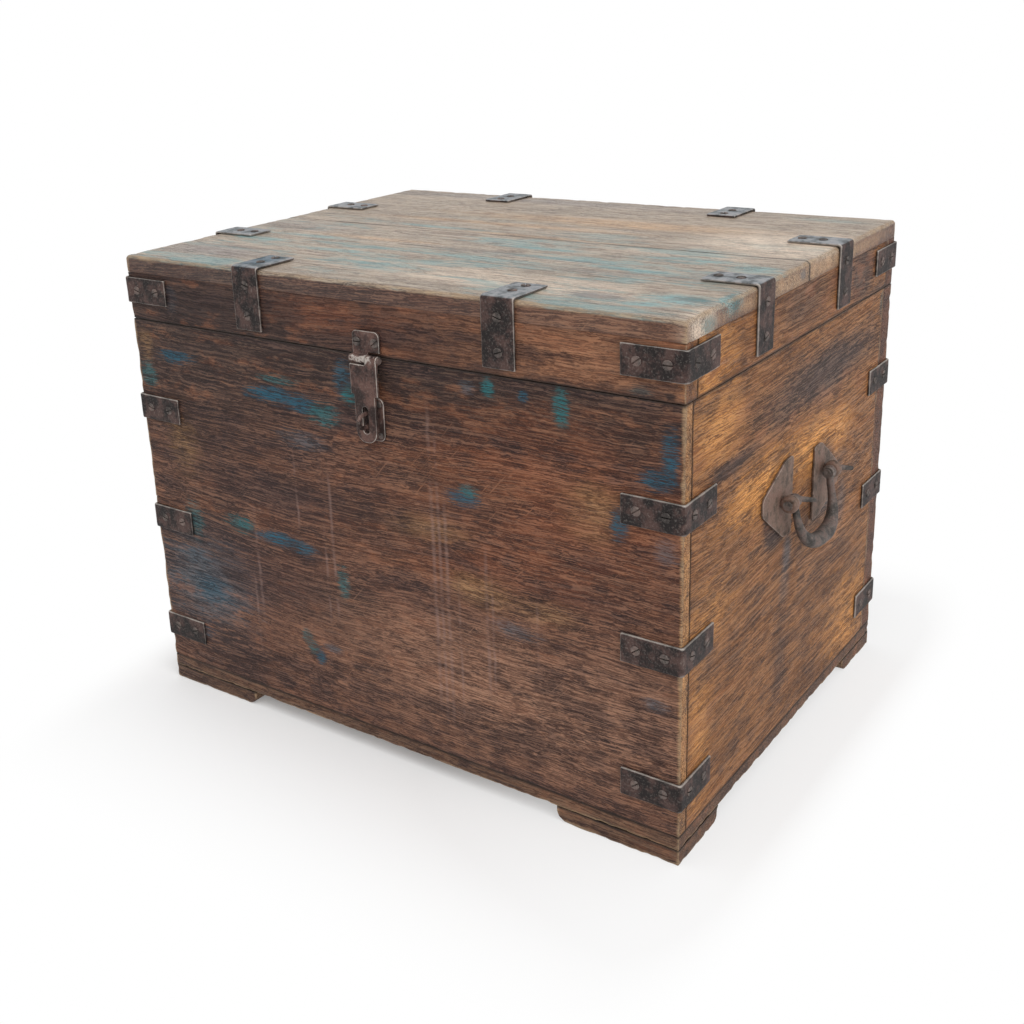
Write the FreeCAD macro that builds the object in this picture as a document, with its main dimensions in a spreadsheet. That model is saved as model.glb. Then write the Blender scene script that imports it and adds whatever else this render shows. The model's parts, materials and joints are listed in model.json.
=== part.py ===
import FreeCAD, Part
import math
import os
import re
import Sketcher
from FreeCAD import Placement, Rotation, Vector

# Damchiya chest: a low hardwood chest with a flush lid, iron corner straps, iron
# straps over the lid's edges, strap hinges at the back, a hasp and staple in
# front and a bail handle on each end. Millimetres. The origin is on the floor
# under the middle of the carcass, +X to the right, +Y to the back, +Z up.

SIZES = (
    ("chest_length", 610, "carcass, left to right"),
    ("chest_depth", 460, "carcass, front to back"),
    ("chest_height", 470, "floor to the top of the lid boards"),
    ("lid_height", 64, "lid, with its rails"),
    ("lid_gap", 0.3, "between the lid's rails and the carcass"),
    ("foot_height", 15, "floor to the bottom board"),
    ("foot_length", 120, "along the front and back"),
    ("foot_width", 78, "along the ends"),
    ("foot_rounding", 11, "inner lower edges of a foot"),
    ("bottom_thick", 13, "bottom board"),
    ("front_thick", 20, "front boards"),
    ("back_thick", 25, "back board"),
    ("end_thick", 20, "end boards"),
    ("corner_lap", 13, "lip of the front boards over the ends"),
    ("front_seam_height", 214, "floor to the seam between the front boards"),
    ("top_thick", 17.5, "lid boards"),
    ("lid_seam", 5, "seam between the lid boards, behind the middle"),
    ("rail_thick", 20, "lid rails"),
    ("lid_edge_radius", 4, "rounding of the lid's upper edges"),
    ("strap_thick", 2.5, "iron straps, leaves and handle plates"),
    ("strap_bend", 3, "outer rounding where a strap is bent"),
    ("corner_strap_height", 26, "width of the iron round the corners"),
    ("corner_strap_leg", 54, "each leg of a corner strap"),
    ("strap_upper_drop", 91.5, "lid's lower edge to the middle of the upper straps"),
    ("strap_middle_height", 193, "floor to the middle of the middle straps"),
    ("strap_lower_height", 67, "floor to the middle of the lower straps"),
    ("lid_strap_drop", 34.5, "lid top to the middle of the lid's corner straps"),
    ("corner_screw_near", 14, "corner to the nearer screw"),
    ("corner_screw_far", 40, "corner to the further screw"),
    ("edge_strap_width", 32, "straps over the lid's edges"),
    ("edge_strap_top", 50, "leg on top of the lid"),
    ("edge_strap_side", 58, "leg down the lid's side"),
    ("edge_screw_near", 21, "lid edge to the nearer screw on top"),
    ("edge_screw_far", 41, "lid edge to the further screw on top"),
    ("side_screw_near", 15, "lid top to the upper screw on the side"),
    ("side_screw_far", 44, "lid top to the lower screw on the side"),
    ("front_strap_offset", 140, "middle to the straps of the front and back"),
    ("side_strap_offset", 90, "middle to the straps of the ends"),
    ("screw_head_radius", 4.3, "slotted countersunk screws"),
    ("screw_head_depth", 2.2, "countersink"),
    ("screw_crown", 0.7, "crown of a screw's head"),
    ("screw_radius", 1.9, "shank"),
    ("screw_length", 13.5, "outer face of the iron to the screw's point"),
    ("screw_point", 3, "pointed end"),
    ("slot_width", 1.2, "screwdriver slot"),
    ("slot_depth", 1, "screwdriver slot below the iron's face"),
    ("hinge_barrel_radius", 5.5, "knuckles of the lid hinges"),
    ("hinge_pin_radius", 2.6, "pins of the lid hinges"),
    ("hinge_stand_off", 0.4, "wood to the knuckles"),
    ("hinge_leaf_length", 62, "pin to the end of the lower leaf"),
    ("knuckle_gap", 0.4, "between neighbouring knuckles"),
    ("pin_clearance", 0.06, "radial, pin to a knuckle that turns on it"),
    ("pin_head", 1.5, "head at each end of a pin"),
    ("pin_head_radius", 3.6, "heads of the lid hinges' pins"),
    ("leaf_screw_first", 17, "pin to the first screw of the lower leaf"),
    ("leaf_screw_pitch", 18, "between the screws of the lower leaf"),
    ("hasp_offset", 1, "hasp, right of the middle"),
    ("hasp_width", 30, "hasp leaf and the hasp's shoulders"),
    ("hasp_leaf_height", 22, "lid's lower edge to the top of the leaf"),
    ("hasp_leaf_rounding", 5, "upper corners of the leaf"),
    ("hasp_screw_spacing", 9.8, "middle of the leaf to its screws"),
    ("hasp_screw_height", 11.8, "lid's lower edge to the leaf's screws"),
    ("hasp_barrel_radius", 4, "knuckles of the hasp"),
    ("hasp_pin_radius", 1.9, "pin of the hasp"),
    ("hasp_pin_head_radius", 2.8, "heads of the hasp's pin"),
    ("hasp_stand_off", 0.5, "wood to the hasp's knuckles"),
    ("hasp_pin_drop", 2.6, "lid's lower edge to the hasp's pin"),
    ("hasp_knuckle_split", 2, "where the two knuckles meet, from the middle"),
    ("hasp_swing_room", 1.4, "leaf cut away above the strap's knuckle, so that the hasp folds up"),
    ("hasp_thick", 3, "hasp strap"),
    ("hasp_shoulder_drop", 32, "pin to the hasp's shoulders"),
    ("hasp_tongue_width", 23, "below the shoulders"),
    ("hasp_drop", 76, "pin to the lower end of the hasp"),
    ("hasp_end_rounding", 10.5, "corners of the lower end of the hasp"),
    ("hasp_slot_drop", 55, "pin to the middle of the slot"),
    ("hasp_slot_width", 6.4, "slot over the staple"),
    ("hasp_slot_height", 25, "slot over the staple"),
    ("staple_plate_thick", 2, "plate under the hasp"),
    ("staple_plate_width", 31, "plate under the hasp"),
    ("staple_plate_height", 40, "plate under the hasp"),
    ("staple_plate_rounding", 6, "corners of the plate"),
    ("staple_wire_radius", 2, "staple"),
    ("staple_loop_radius", 6, "bend of the staple, to the wire's middle"),
    ("staple_reach", 20, "front of the chest to the end of the staple"),
    ("clench_length", 13, "ends bent over inside the boards"),
    ("nail_head_radius", 3, "nails of the staple plate"),
    ("nail_head", 1, "height of a nail's head"),
    ("nail_radius", 1.2, "shank of a nail"),
    ("nail_length", 15, "plate to the nail's point"),
    ("nail_across", 10.5, "middle of the plate to a nail"),
    ("nail_up", 14.5, "middle of the plate to a nail"),
    ("handle_height", 264, "floor to the pins of the handles"),
    ("handle_shift", 8, "handles, behind the middle of the ends"),
    ("eye_spacing", 51, "middle of a handle to the middle of an eye"),
    ("eye_radius", 8, "eyes"),
    ("eye_width", 10, "eyes, along the pin"),
    ("eye_rounding", 3, "edges of an eye"),
    ("eye_stem_radius", 3.2, "stem through the end board"),
    ("clench_thick", 2.4, "legs bent over inside"),
    ("plate_gap", 26, "middle of a handle to a plate's upright edge"),
    ("plate_height", 74, "upright edge of a plate"),
    ("plate_shoulder", 17, "upright edge to the shoulders"),
    ("plate_length", 65, "upright edge to the outer end"),
    ("plate_end_height", 16, "outer end of a plate"),
    ("plate_end_lift", 7, "pins to the middle of the outer end"),
    ("plate_drop", 9, "the back plate, below the front one"),
    ("plate_shoulder_rounding", 14, "shoulders"),
    ("plate_end_rounding", 7, "corners of the outer end"),
    ("plate_corner_rounding", 4, "corners of the upright edge"),
    ("handle_pin_radius", 2.8, "pins of the handles"),
    ("handle_pin_head_radius", 4.2, "head of a handle's pin"),
    ("handle_pin_tip", 19, "bent end of a handle's pin, beyond the bail's ring"),
    ("handle_pin_tip_radius", 2, "blunt end of a handle's pin"),
    ("ring_spacing", 41.5, "middle of a handle to the middle of a bail's ring"),
    ("ring_radius", 6.4, "rings of a bail"),
    ("ring_width", 7, "rings of a bail, along the pin"),
    ("ring_rounding", 1.5, "edges of a ring"),
    ("ring_gap", 1, "ring to the eye and to the pin's head"),
    ("bail_leg_radius", 3.2, "leg of a bail below its ring"),
    ("bail_grip_radius", 7.5, "middle of a bail"),
    ("bail_leg_drop", 8, "pin to the start of the curve"),
    ("bail_curve_drop", 42.5, "start of the curve to its lowest point"),
    ("bail_sway", 8, "lowest point of the grip, behind the middle of its handle"),
    ("bail_lean", 10, "degrees that the grip stands away from the end board"),
    ("overrun", 5, "tools past the faces that they cut"),
)

# Places worked out from the sizes above, used in the formulas below.
PLACES = {
    "half_length": "chest_length / 2",
    "half_depth": "chest_depth / 2",
    "floor_board_top": "foot_height + bottom_thick",
    "lid_bottom": "chest_height - lid_height",
    "carcass_top": "lid_bottom - lid_gap",
    "lid_board_bottom": "chest_height - top_thick",
    "rail_height": "lid_board_bottom - lid_bottom",
    "end_board_depth": "chest_depth - corner_lap - back_thick",
    "hinge_reach": "hinge_stand_off + hinge_barrel_radius",
    "hinge_height": "lid_bottom - lid_gap / 2",
    "hinge_drop": "lid_height + lid_gap / 2",
    "hinge_knuckle": "(edge_strap_width - 2 * knuckle_gap) / 3",
    "hinge_clear": "hinge_barrel_radius + knuckle_gap",
    "hasp_reach": "hasp_stand_off + hasp_barrel_radius",
    "hasp_pin_height": "lid_bottom - hasp_pin_drop",
    "hasp_half": "hasp_width / 2",
    "hasp_clear": "hasp_barrel_radius + knuckle_gap",
    "staple_height": "hasp_pin_height - hasp_slot_drop",
    "staple_bend_reach": "staple_reach - staple_wire_radius - staple_loop_radius",
    "eye_reach": "strap_thick + eye_radius",
}

ACROSS = Vector(1, 0, 0)
BACKWARD = Vector(0, 1, 0)
UP = Vector(0, 0, 1)
STRAIGHT = Rotation()
TO_RIGHT = Rotation(BACKWARD, 90)
TO_FRONT = Rotation(ACROSS, 90)
TO_BACK = Rotation(ACROSS, -90)
PIN_TIP_WAY = Vector(0.62, 0.75, -0.2)
SAME_PLACE = 1e-4
SLOT_TURN_STEP = 37

doc = FreeCAD.newDocument("damchiya_chest")
sizes = doc.addObject("Spreadsheet::Sheet", "sizes")
for row, (alias, value, note) in enumerate(SIZES, start=1):
    sizes.set(f"A{row}", alias)
    sizes.set(f"B{row}", str(value))
    sizes.set(f"C{row}", note)
    sizes.setAlias(f"B{row}", alias)
doc.recompute()

ALIASES = {alias for alias, value, note in SIZES}
sub_parts = []


def written(formula):
    """The formula with every place worked out and every size read from the sheet."""

    def word(found):
        name = found.group(0)
        if name in PLACES:
            return "(" + written(PLACES[name]) + ")"
        return "sizes." + name if name in ALIASES else name

    return re.sub(r"[a-z_]+", word, formula)


def bind(thing, **formulas):
    for name, formula in formulas.items():
        thing.setExpression(name, written(formula))
    return thing


def put(thing, x="0", y="0", z="0", turn=STRAIGHT):
    """Place a thing: its turn, and each coordinate as a formula."""
    thing.Placement = Placement(Vector(), turn)
    for axis, formula in zip("xyz", (x, y, z)):
        if formula != "0":
            thing.setExpression(f"Placement.Base.{axis}", written(formula))
    return thing


def box(name, length, width, height, x="0", y="0", z="0"):
    thing = doc.addObject("Part::Box", name)
    bind(thing, Length=length, Width=width, Height=height)
    return put(thing, x, y, z)


def rod(name, radius, length, x="0", y="0", z="0", turn=STRAIGHT):
    thing = doc.addObject("Part::Cylinder", name)
    bind(thing, Radius=radius, Height=length)
    return put(thing, x, y, z, turn)


def ball(name, radius, x="0", y="0", z="0"):
    thing = doc.addObject("Part::Sphere", name)
    bind(thing, Radius=radius)
    return put(thing, x, y, z)


def gather(name, things):
    group = doc.addObject("Part::Compound", name)
    group.Links = things
    return group


def join(name, things):
    whole = doc.addObject("Part::MultiFuse", name)
    whole.Shapes = things
    whole.Refine = True
    return whole


def cut(name, base, *tools):
    whole = doc.addObject("Part::Cut", name)
    whole.Base = base
    whole.Tool = tools[0] if len(tools) == 1 else gather(name + "_tools", list(tools))
    return whole


def copy_of(thing, name, x="0", y="0", z="0", turn=STRAIGHT):
    """Another piece like this one, which follows it."""
    link = doc.addObject("App::Link", name)
    link.LinkedObject = thing
    return put(link, x, y, z, turn)


def sub_part(thing, label):
    thing.Label = label
    sub_parts.append(thing)
    return thing


def edges_where(shape, test):
    return [number for number, edge in enumerate(shape.Edges, start=1) if test(edge.CenterOfMass)]


def new_body(name):
    return doc.addObject("PartDesign::Body", name)


def outline(body, name, plane, corners):
    """A closed sketch of straight lines, each corner two formulas from the origin."""
    sketch = body.newObject("Sketcher::SketchObject", name)
    support = [item for item in body.Origin.OriginFeatures if item.Role == plane]
    sketch.AttachmentSupport = [(support[0], "")]
    sketch.MapMode = "FlatFace"
    step = math.tau / len(corners)
    starts = [Vector(math.cos(step * i), math.sin(step * i), 0) for i in range(len(corners))]
    for here, there in zip(starts, starts[1:] + starts[:1]):
        sketch.addGeometry(Part.LineSegment(here, there), False)
    for i in range(len(corners)):
        sketch.addConstraint(Sketcher.Constraint("Coincident", i, 2, (i + 1) % len(corners), 1))
    for i, corner in enumerate(corners):
        guesses = (starts[i].x, starts[i].y)
        for kind, formula, guess in zip(("DistanceX", "DistanceY"), corner, guesses):
            datum = 0.0 if formula == "0" else guess
            held = sketch.addConstraint(Sketcher.Constraint(kind, -1, 1, i, 1, datum))
            if formula != "0":
                sketch.setExpression(f"Constraints[{held}]", written(formula))
    return sketch


def pad(body, name, sketch, thickness, middle=False):
    feature = body.newObject("PartDesign::Pad", name)
    feature.Profile = sketch
    feature.SideType = "Symmetric" if middle else "One side"
    bind(feature, Length=thickness)
    return feature


def body_rounding(body, name, feature, radius, test):
    doc.recompute()
    rounding = body.newObject("PartDesign::Fillet", name)
    rounding.Base = (feature, [f"Edge{n}" for n in edges_where(feature.Shape, test)])
    bind(rounding, Radius=radius)
    return rounding


def block(name, length, width, height, x, y, z, radius, choose):
    """A box with the edges rounded that the chooser picks from its bounds."""
    body = new_body(name)
    feature = body.newObject("PartDesign::AdditiveBox", name + "_box")
    bind(feature, Length=length, Width=width, Height=height)
    put(feature, x, y, z)
    doc.recompute()
    body_rounding(body, name + "_rounding", feature, radius, choose(feature.Shape.BoundBox))
    return body


def drum(name, radius, length, rounding, x="0", y="0", z="0", turn=STRAIGHT):
    """A short rod with rounded rims."""
    body = new_body(name)
    feature = body.newObject("PartDesign::AdditiveCylinder", name + "_rod")
    bind(feature, Radius=radius, Height=length)
    body_rounding(body, name + "_rims", feature, rounding, lambda middle: (
        math.hypot(middle.x, middle.y) < SAME_PLACE))
    return put(body, x, y, z, turn)


def turned(name, corners):
    """A body turned about its own upright axis from half an outline."""
    body = new_body(name)
    sketch = outline(body, name + "_half", "XZ_Plane", corners)
    feature = body.newObject("PartDesign::Revolution", name + "_turning")
    feature.Profile = sketch
    feature.ReferenceAxis = (sketch, ["V_Axis"])
    feature.Angle = 360
    return body


# A screw stands with its point down and the iron's outer face at height zero.
screw_blank = turned("screw_blank", (
    ("0", "-screw_length"),
    ("screw_radius", "screw_point - screw_length"),
    ("screw_radius", "-screw_head_depth"),
    ("screw_head_radius", "0"),
    ("screw_head_radius - screw_crown", "screw_crown"),
    ("0", "screw_crown"),
))
screw_slot = box("screw_slot", "2 * screw_head_radius", "slot_width", "slot_depth + screw_crown",
                 "-screw_head_radius", "-slot_width / 2", "-slot_depth")
screw = cut("screw", screw_blank, screw_slot)
screw_bore = turned("screw_bore", (
    ("0", "-screw_length"),
    ("screw_radius", "screw_point - screw_length"),
    ("screw_radius", "-screw_head_depth"),
    ("screw_head_radius", "0"),
    ("screw_head_radius", "overrun"),
    ("0", "overrun"),
))

# A nail stands with the plate's outer face at height zero.
nail = turned("nail", (
    ("0", "-nail_length"),
    ("nail_radius", "2 * nail_radius - nail_length"),
    ("nail_radius", "0"),
    ("nail_head_radius", "0"),
    ("nail_head_radius - nail_head", "nail_head"),
    ("0", "nail_head"),
))
nail_bore = turned("nail_bore", (
    ("0", "-nail_length"),
    ("nail_radius", "2 * nail_radius - nail_length"),
    ("nail_radius", "overrun"),
    ("0", "overrun"),
))


def fixings(name, places, fastener, bore):
    """Fasteners and their bores at the same places, each slot turned its own way."""
    pins = []
    bores = []
    for number, (x, y, z, turn) in enumerate(places):
        own_turn = turn.multiply(Rotation(UP, SLOT_TURN_STEP * number))
        pins.append(copy_of(fastener, f"{name}_{number}", x, y, z, own_turn))
        bores.append(copy_of(bore, f"{name}_bore_{number}", x, y, z, own_turn))
    return gather(name, pins), gather(name + "_bores", bores)


# A corner strap lies round an upright arris at the origin: one leg runs left
# along the front, the other runs back along the right side.
corner_bar = new_body("corner_bar")
corner_pad = pad(corner_bar, "corner_pad", outline(corner_bar, "corner_outline", "XY_Plane", (
    ("-corner_strap_leg", "-strap_thick"),
    ("strap_thick", "-strap_thick"),
    ("strap_thick", "corner_strap_leg"),
    ("0", "corner_strap_leg"),
    ("0", "0"),
    ("-corner_strap_leg", "0"),
)), "corner_strap_height", middle=True)
body_rounding(corner_bar, "corner_bend", corner_pad, "strap_bend", lambda middle: (
    abs(middle.x - sizes.strap_thick) < SAME_PLACE and abs(middle.y + sizes.strap_thick) < SAME_PLACE))
corner_screws, corner_bores = fixings("corner_fixings", (
    ("-corner_screw_near", "-strap_thick", "0", TO_FRONT),
    ("-corner_screw_far", "-strap_thick", "0", TO_FRONT),
    ("strap_thick", "corner_screw_near", "0", TO_RIGHT),
    ("strap_thick", "corner_screw_far", "0", TO_RIGHT),
), screw, screw_bore)
corner_strap = cut("corner_strap", corner_bar, corner_bores)

# An edge strap lies over an upper edge at the origin: one leg runs left on top,
# the other runs down the right side.
edge_bar = new_body("edge_bar")
edge_pad = pad(edge_bar, "edge_pad", outline(edge_bar, "edge_outline", "XZ_Plane", (
    ("-edge_strap_top", "0"),
    ("-edge_strap_top", "strap_thick"),
    ("strap_thick", "strap_thick"),
    ("strap_thick", "-edge_strap_side"),
    ("0", "-edge_strap_side"),
    ("0", "0"),
)), "edge_strap_width", middle=True)
body_rounding(edge_bar, "edge_bend", edge_pad, "strap_bend", lambda middle: (
    abs(middle.x - sizes.strap_thick) < SAME_PLACE and abs(middle.z - sizes.strap_thick) < SAME_PLACE))
edge_screws, edge_bores = fixings("edge_fixings", (
    ("-edge_screw_near", "0", "strap_thick", STRAIGHT),
    ("-edge_screw_far", "0", "strap_thick", STRAIGHT),
    ("strap_thick", "0", "-side_screw_near", TO_RIGHT),
    ("strap_thick", "0", "-side_screw_far", TO_RIGHT),
), screw, screw_bore)
edge_strap = cut("edge_strap", edge_bar, edge_bores)


def knuckle(name, radius, length, start, height):
    """A rod along Y at the hinge line, from one place on it."""
    return rod(name, radius, length, "hinge_reach", start, height, TO_BACK)


# A lid hinge stands at the origin as an edge strap does. Its upper strap has the
# middle knuckle, its lower leaf the two outer ones, and the pin passes through.
hinge_bar = new_body("hinge_bar")
hinge_pad = pad(hinge_bar, "hinge_pad", outline(hinge_bar, "hinge_outline", "XZ_Plane", (
    ("-edge_strap_top", "0"),
    ("-edge_strap_top", "strap_thick"),
    ("strap_thick", "strap_thick"),
    ("strap_thick", "-hinge_drop"),
    ("0", "-hinge_drop"),
    ("0", "0"),
)), "edge_strap_width", middle=True)
body_rounding(hinge_bar, "hinge_bend", hinge_pad, "strap_bend", lambda middle: (
    abs(middle.x - sizes.strap_thick) < SAME_PLACE and abs(middle.z - sizes.strap_thick) < SAME_PLACE))
hinge_tongue = join("hinge_tongue", [
    hinge_bar,
    knuckle("upper_knuckle", "hinge_barrel_radius", "hinge_knuckle", "-hinge_knuckle / 2", "-hinge_drop"),
])
outer_start = "hinge_knuckle / 2"
outer_length = "(edge_strap_width - hinge_knuckle) / 2"
hinge_upper_cuts = [
    box(f"upper_relief_{side}", "strap_thick + 2 * overrun", outer_length, "hinge_clear + overrun",
        "-overrun", start, "-hinge_drop - overrun")
    for side, start in (("back", outer_start), ("front", "-edge_strap_width / 2"))
]
hinge_upper_cuts.append(knuckle("upper_pin_bore", "hinge_pin_radius + pin_clearance",
                                "edge_strap_width", "-edge_strap_width / 2", "-hinge_drop"))
hinge_upper_strap = cut("hinge_upper_strap", hinge_tongue, edge_bores, *hinge_upper_cuts)

lower_leaf_bar = box("lower_leaf_bar", "strap_thick", "edge_strap_width", "hinge_leaf_length",
                     "0", "-edge_strap_width / 2", "-hinge_drop - hinge_leaf_length")
lower_knuckles = [
    knuckle(f"lower_knuckle_{side}", "hinge_barrel_radius", "hinge_knuckle", start, "-hinge_drop")
    for side, start in (("back", "edge_strap_width / 2 - hinge_knuckle"), ("front", "-edge_strap_width / 2"))
]
lower_relief = box("lower_relief", "strap_thick + 2 * overrun", "hinge_knuckle + 2 * knuckle_gap",
                   "hinge_clear + overrun", "-overrun", "-hinge_knuckle / 2 - knuckle_gap",
                   "-hinge_drop - hinge_clear")
lower_pin_bore = knuckle("lower_pin_bore", "hinge_pin_radius", "edge_strap_width",
                         "-edge_strap_width / 2", "-hinge_drop")
leaf_screws, leaf_bores = fixings("leaf_fixings", [
    ("strap_thick", "0", f"-hinge_drop - leaf_screw_first - {number} * leaf_screw_pitch", TO_RIGHT)
    for number in range(3)
], screw, screw_bore)
hinge_lower_leaf = cut("hinge_lower_leaf", join("lower_leaf_blank", [lower_leaf_bar] + lower_knuckles),
                       lower_relief, lower_pin_bore, leaf_bores)
hinge_pin = join("hinge_pin", [
    knuckle("hinge_pin_shank", "hinge_pin_radius", "edge_strap_width", "-edge_strap_width / 2",
            "-hinge_drop"),
    knuckle("hinge_pin_head_back", "pin_head_radius", "pin_head", "edge_strap_width / 2",
            "-hinge_drop"),
    knuckle("hinge_pin_head_front", "pin_head_radius", "pin_head", "-edge_strap_width / 2 - pin_head",
            "-hinge_drop"),
])

# Where the straps go: the name of each place, its x, y and turn.
CORNERS = (
    ("front_right", "half_length", "-half_depth", Rotation(UP, 0)),
    ("back_right", "half_length", "half_depth", Rotation(UP, 90)),
    ("back_left", "-half_length", "half_depth", Rotation(UP, 180)),
    ("front_left", "-half_length", "-half_depth", Rotation(UP, 270)),
)
STRAP_LEVELS = (
    ("upper", "lid_bottom - strap_upper_drop"),
    ("middle", "strap_middle_height"),
    ("lower", "strap_lower_height"),
)
EDGE_PLACES = (
    ("front_left", "-front_strap_offset", "-half_depth", Rotation(UP, 270)),
    ("front_right", "front_strap_offset", "-half_depth", Rotation(UP, 270)),
    ("right_front", "half_length", "-side_strap_offset", Rotation(UP, 0)),
    ("right_back", "half_length", "side_strap_offset", Rotation(UP, 0)),
    ("left_front", "-half_length", "-side_strap_offset", Rotation(UP, 180)),
    ("left_back", "-half_length", "side_strap_offset", Rotation(UP, 180)),
)
HINGE_PLACES = (
    ("left", "-front_strap_offset", "half_depth", Rotation(UP, 90)),
    ("right", "front_strap_offset", "half_depth", Rotation(UP, 90)),
)

carcass_bores = []
lid_bores = []

carcass_screws = []
for corner, x, y, turn in CORNERS:
    straps = []
    for level, height in STRAP_LEVELS:
        straps.append(copy_of(corner_strap, f"strap_{corner}_{level}", x, y, height, turn))
        carcass_screws.append(copy_of(corner_screws, f"screws_{corner}_{level}", x, y, height, turn))
        carcass_bores.append(copy_of(corner_bores, f"bores_{corner}_{level}", x, y, height, turn))
    sub_part(gather(f"corner_straps_{corner}", straps), f"corner_straps_{corner}")
sub_part(gather("corner_strap_screws", carcass_screws), "corner_strap_screws")

lid_corner_screws = []
for corner, x, y, turn in CORNERS:
    place = (x, y, "chest_height - lid_strap_drop", turn)
    sub_part(copy_of(corner_strap, f"lid_strap_{corner}", *place), f"lid_corner_strap_{corner}")
    lid_corner_screws.append(copy_of(corner_screws, f"lid_screws_{corner}", *place))
    lid_bores.append(copy_of(corner_bores, f"lid_bores_{corner}", *place))
sub_part(gather("lid_corner_strap_screws", lid_corner_screws), "lid_corner_strap_screws")

lid_edge_screws = []
for place, x, y, turn in EDGE_PLACES:
    sub_part(copy_of(edge_strap, f"edge_{place}", x, y, "chest_height", turn), f"lid_edge_strap_{place}")
    lid_edge_screws.append(copy_of(edge_screws, f"edge_screws_{place}", x, y, "chest_height", turn))
    lid_bores.append(copy_of(edge_bores, f"edge_bores_{place}", x, y, "chest_height", turn))
sub_part(gather("lid_edge_strap_screws", lid_edge_screws), "lid_edge_strap_screws")

upper_screws = []
lower_screws = []
for side, x, y, turn in HINGE_PLACES:
    place = (x, y, "chest_height", turn)
    sub_part(copy_of(hinge_upper_strap, f"upper_{side}", *place), f"hinge_upper_strap_{side}")
    sub_part(copy_of(hinge_lower_leaf, f"lower_{side}", *place), f"hinge_lower_leaf_{side}")
    sub_part(copy_of(hinge_pin, f"pin_{side}", *place), f"hinge_pin_{side}")
    upper_screws.append(copy_of(edge_screws, f"upper_screws_{side}", *place))
    lower_screws.append(copy_of(leaf_screws, f"lower_screws_{side}", *place))
    lid_bores.append(copy_of(edge_bores, f"upper_bores_{side}", *place))
    carcass_bores.append(copy_of(leaf_bores, f"lower_bores_{side}", *place))
sub_part(gather("hinge_upper_strap_screws", upper_screws), "hinge_upper_strap_screws")
sub_part(gather("hinge_lower_leaf_screws", lower_screws), "hinge_lower_leaf_screws")


# The hasp's leaf is screwed to the lid's front rail, and its knuckle hangs just
# below the lid's edge, in front of the carcass.
def hasp_rod(name, radius, length, start):
    """A rod along X at the hasp's pin, from one place on it."""
    return rod(name, radius, length, f"hasp_offset + {start}", "-half_depth - hasp_reach",
               "hasp_pin_height", TO_RIGHT)


leaf_plate = block("leaf_plate", "hasp_width", "strap_thick", "hasp_leaf_height",
                   "hasp_offset - hasp_half", "-half_depth - strap_thick", "lid_bottom",
                   "hasp_leaf_rounding", lambda reach: lambda middle: (
                       abs(middle.z - reach.ZMax) < SAME_PLACE
                       and abs(middle.y - reach.Center.y) < SAME_PLACE))
leaf_web = box("leaf_web", "hasp_half + hasp_knuckle_split", "strap_thick - hasp_stand_off",
               "hasp_pin_drop + strap_thick", "hasp_offset - hasp_half", "-half_depth - strap_thick",
               "hasp_pin_height")
hasp_screws, hasp_bores = fixings("hasp_fixings", (
    ("hasp_offset - hasp_screw_spacing", "-half_depth - strap_thick", "lid_bottom + hasp_screw_height",
     TO_FRONT),
    ("hasp_offset + hasp_screw_spacing", "-half_depth - strap_thick", "lid_bottom + hasp_screw_height",
     TO_FRONT),
), screw, screw_bore)
lid_bores.append(hasp_bores)
hasp_relief = box("hasp_relief", "hasp_half", "2 * hasp_reach", "2 * hasp_clear + hasp_swing_room",
                  "hasp_offset + hasp_knuckle_split", "-half_depth - 2 * hasp_reach",
                  "hasp_pin_height - hasp_clear")
hasp_leaf = cut("hasp_leaf", join("leaf_blank", [
    leaf_plate,
    leaf_web,
    hasp_rod("leaf_knuckle", "hasp_barrel_radius", "hasp_half + hasp_knuckle_split", "(-hasp_half)"),
]), hasp_relief, hasp_bores, hasp_rod("leaf_pin_bore", "hasp_pin_radius", "hasp_width", "(-hasp_half)"))
sub_part(hasp_leaf, "hasp_leaf")
sub_part(hasp_screws, "hasp_leaf_screws")
sub_part(join("hasp_pin", [
    hasp_rod("hasp_pin_shank", "hasp_pin_radius", "hasp_width", "(-hasp_half)"),
    hasp_rod("hasp_pin_head_left", "hasp_pin_head_radius", "pin_head", "(-hasp_half - pin_head)"),
    hasp_rod("hasp_pin_head_right", "hasp_pin_head_radius", "pin_head", "hasp_half"),
]), "hasp_pin")

# The hasp strap hangs from the pin, flush with the front of the knuckles. The
# sketch is seen from behind: its first coordinate runs along X, its second up.
hasp_body = new_body("hasp_body")
hasp_top = "-hasp_clear"
hasp_tip = "-hasp_drop"
hasp_tongue_half = "hasp_tongue_width / 2"
hasp_blank = pad(hasp_body, "hasp_pad", outline(hasp_body, "hasp_outline", "XZ_Plane", (
    ("-hasp_half", hasp_top),
    ("-hasp_half", "-hasp_shoulder_drop"),
    ("-(" + hasp_tongue_half + ")", "-hasp_shoulder_drop"),
    ("-(" + hasp_tongue_half + ")", hasp_tip),
    (hasp_tongue_half, hasp_tip),
    (hasp_tongue_half, "-hasp_shoulder_drop"),
    ("hasp_half", "-hasp_shoulder_drop"),
    ("hasp_half", "0"),
    ("hasp_knuckle_split + knuckle_gap", "0"),
    ("hasp_knuckle_split + knuckle_gap", hasp_top),
)), "hasp_thick")
body_rounding(hasp_body, "hasp_end", hasp_blank, "hasp_end_rounding", lambda middle: (
    abs(middle.z + sizes.hasp_drop) < SAME_PLACE
    and abs(abs(middle.x) - sizes.hasp_tongue_width / 2) < SAME_PLACE))
doc.recompute()
hasp_plate = copy_of(hasp_body, "hasp_plate", "hasp_offset",
                     "-half_depth - hasp_reach - hasp_barrel_radius + hasp_thick", "hasp_pin_height")
slot_half = "(hasp_slot_height - hasp_slot_width) / 2"
slot_front = "-half_depth - hasp_reach - hasp_barrel_radius - overrun"
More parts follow.
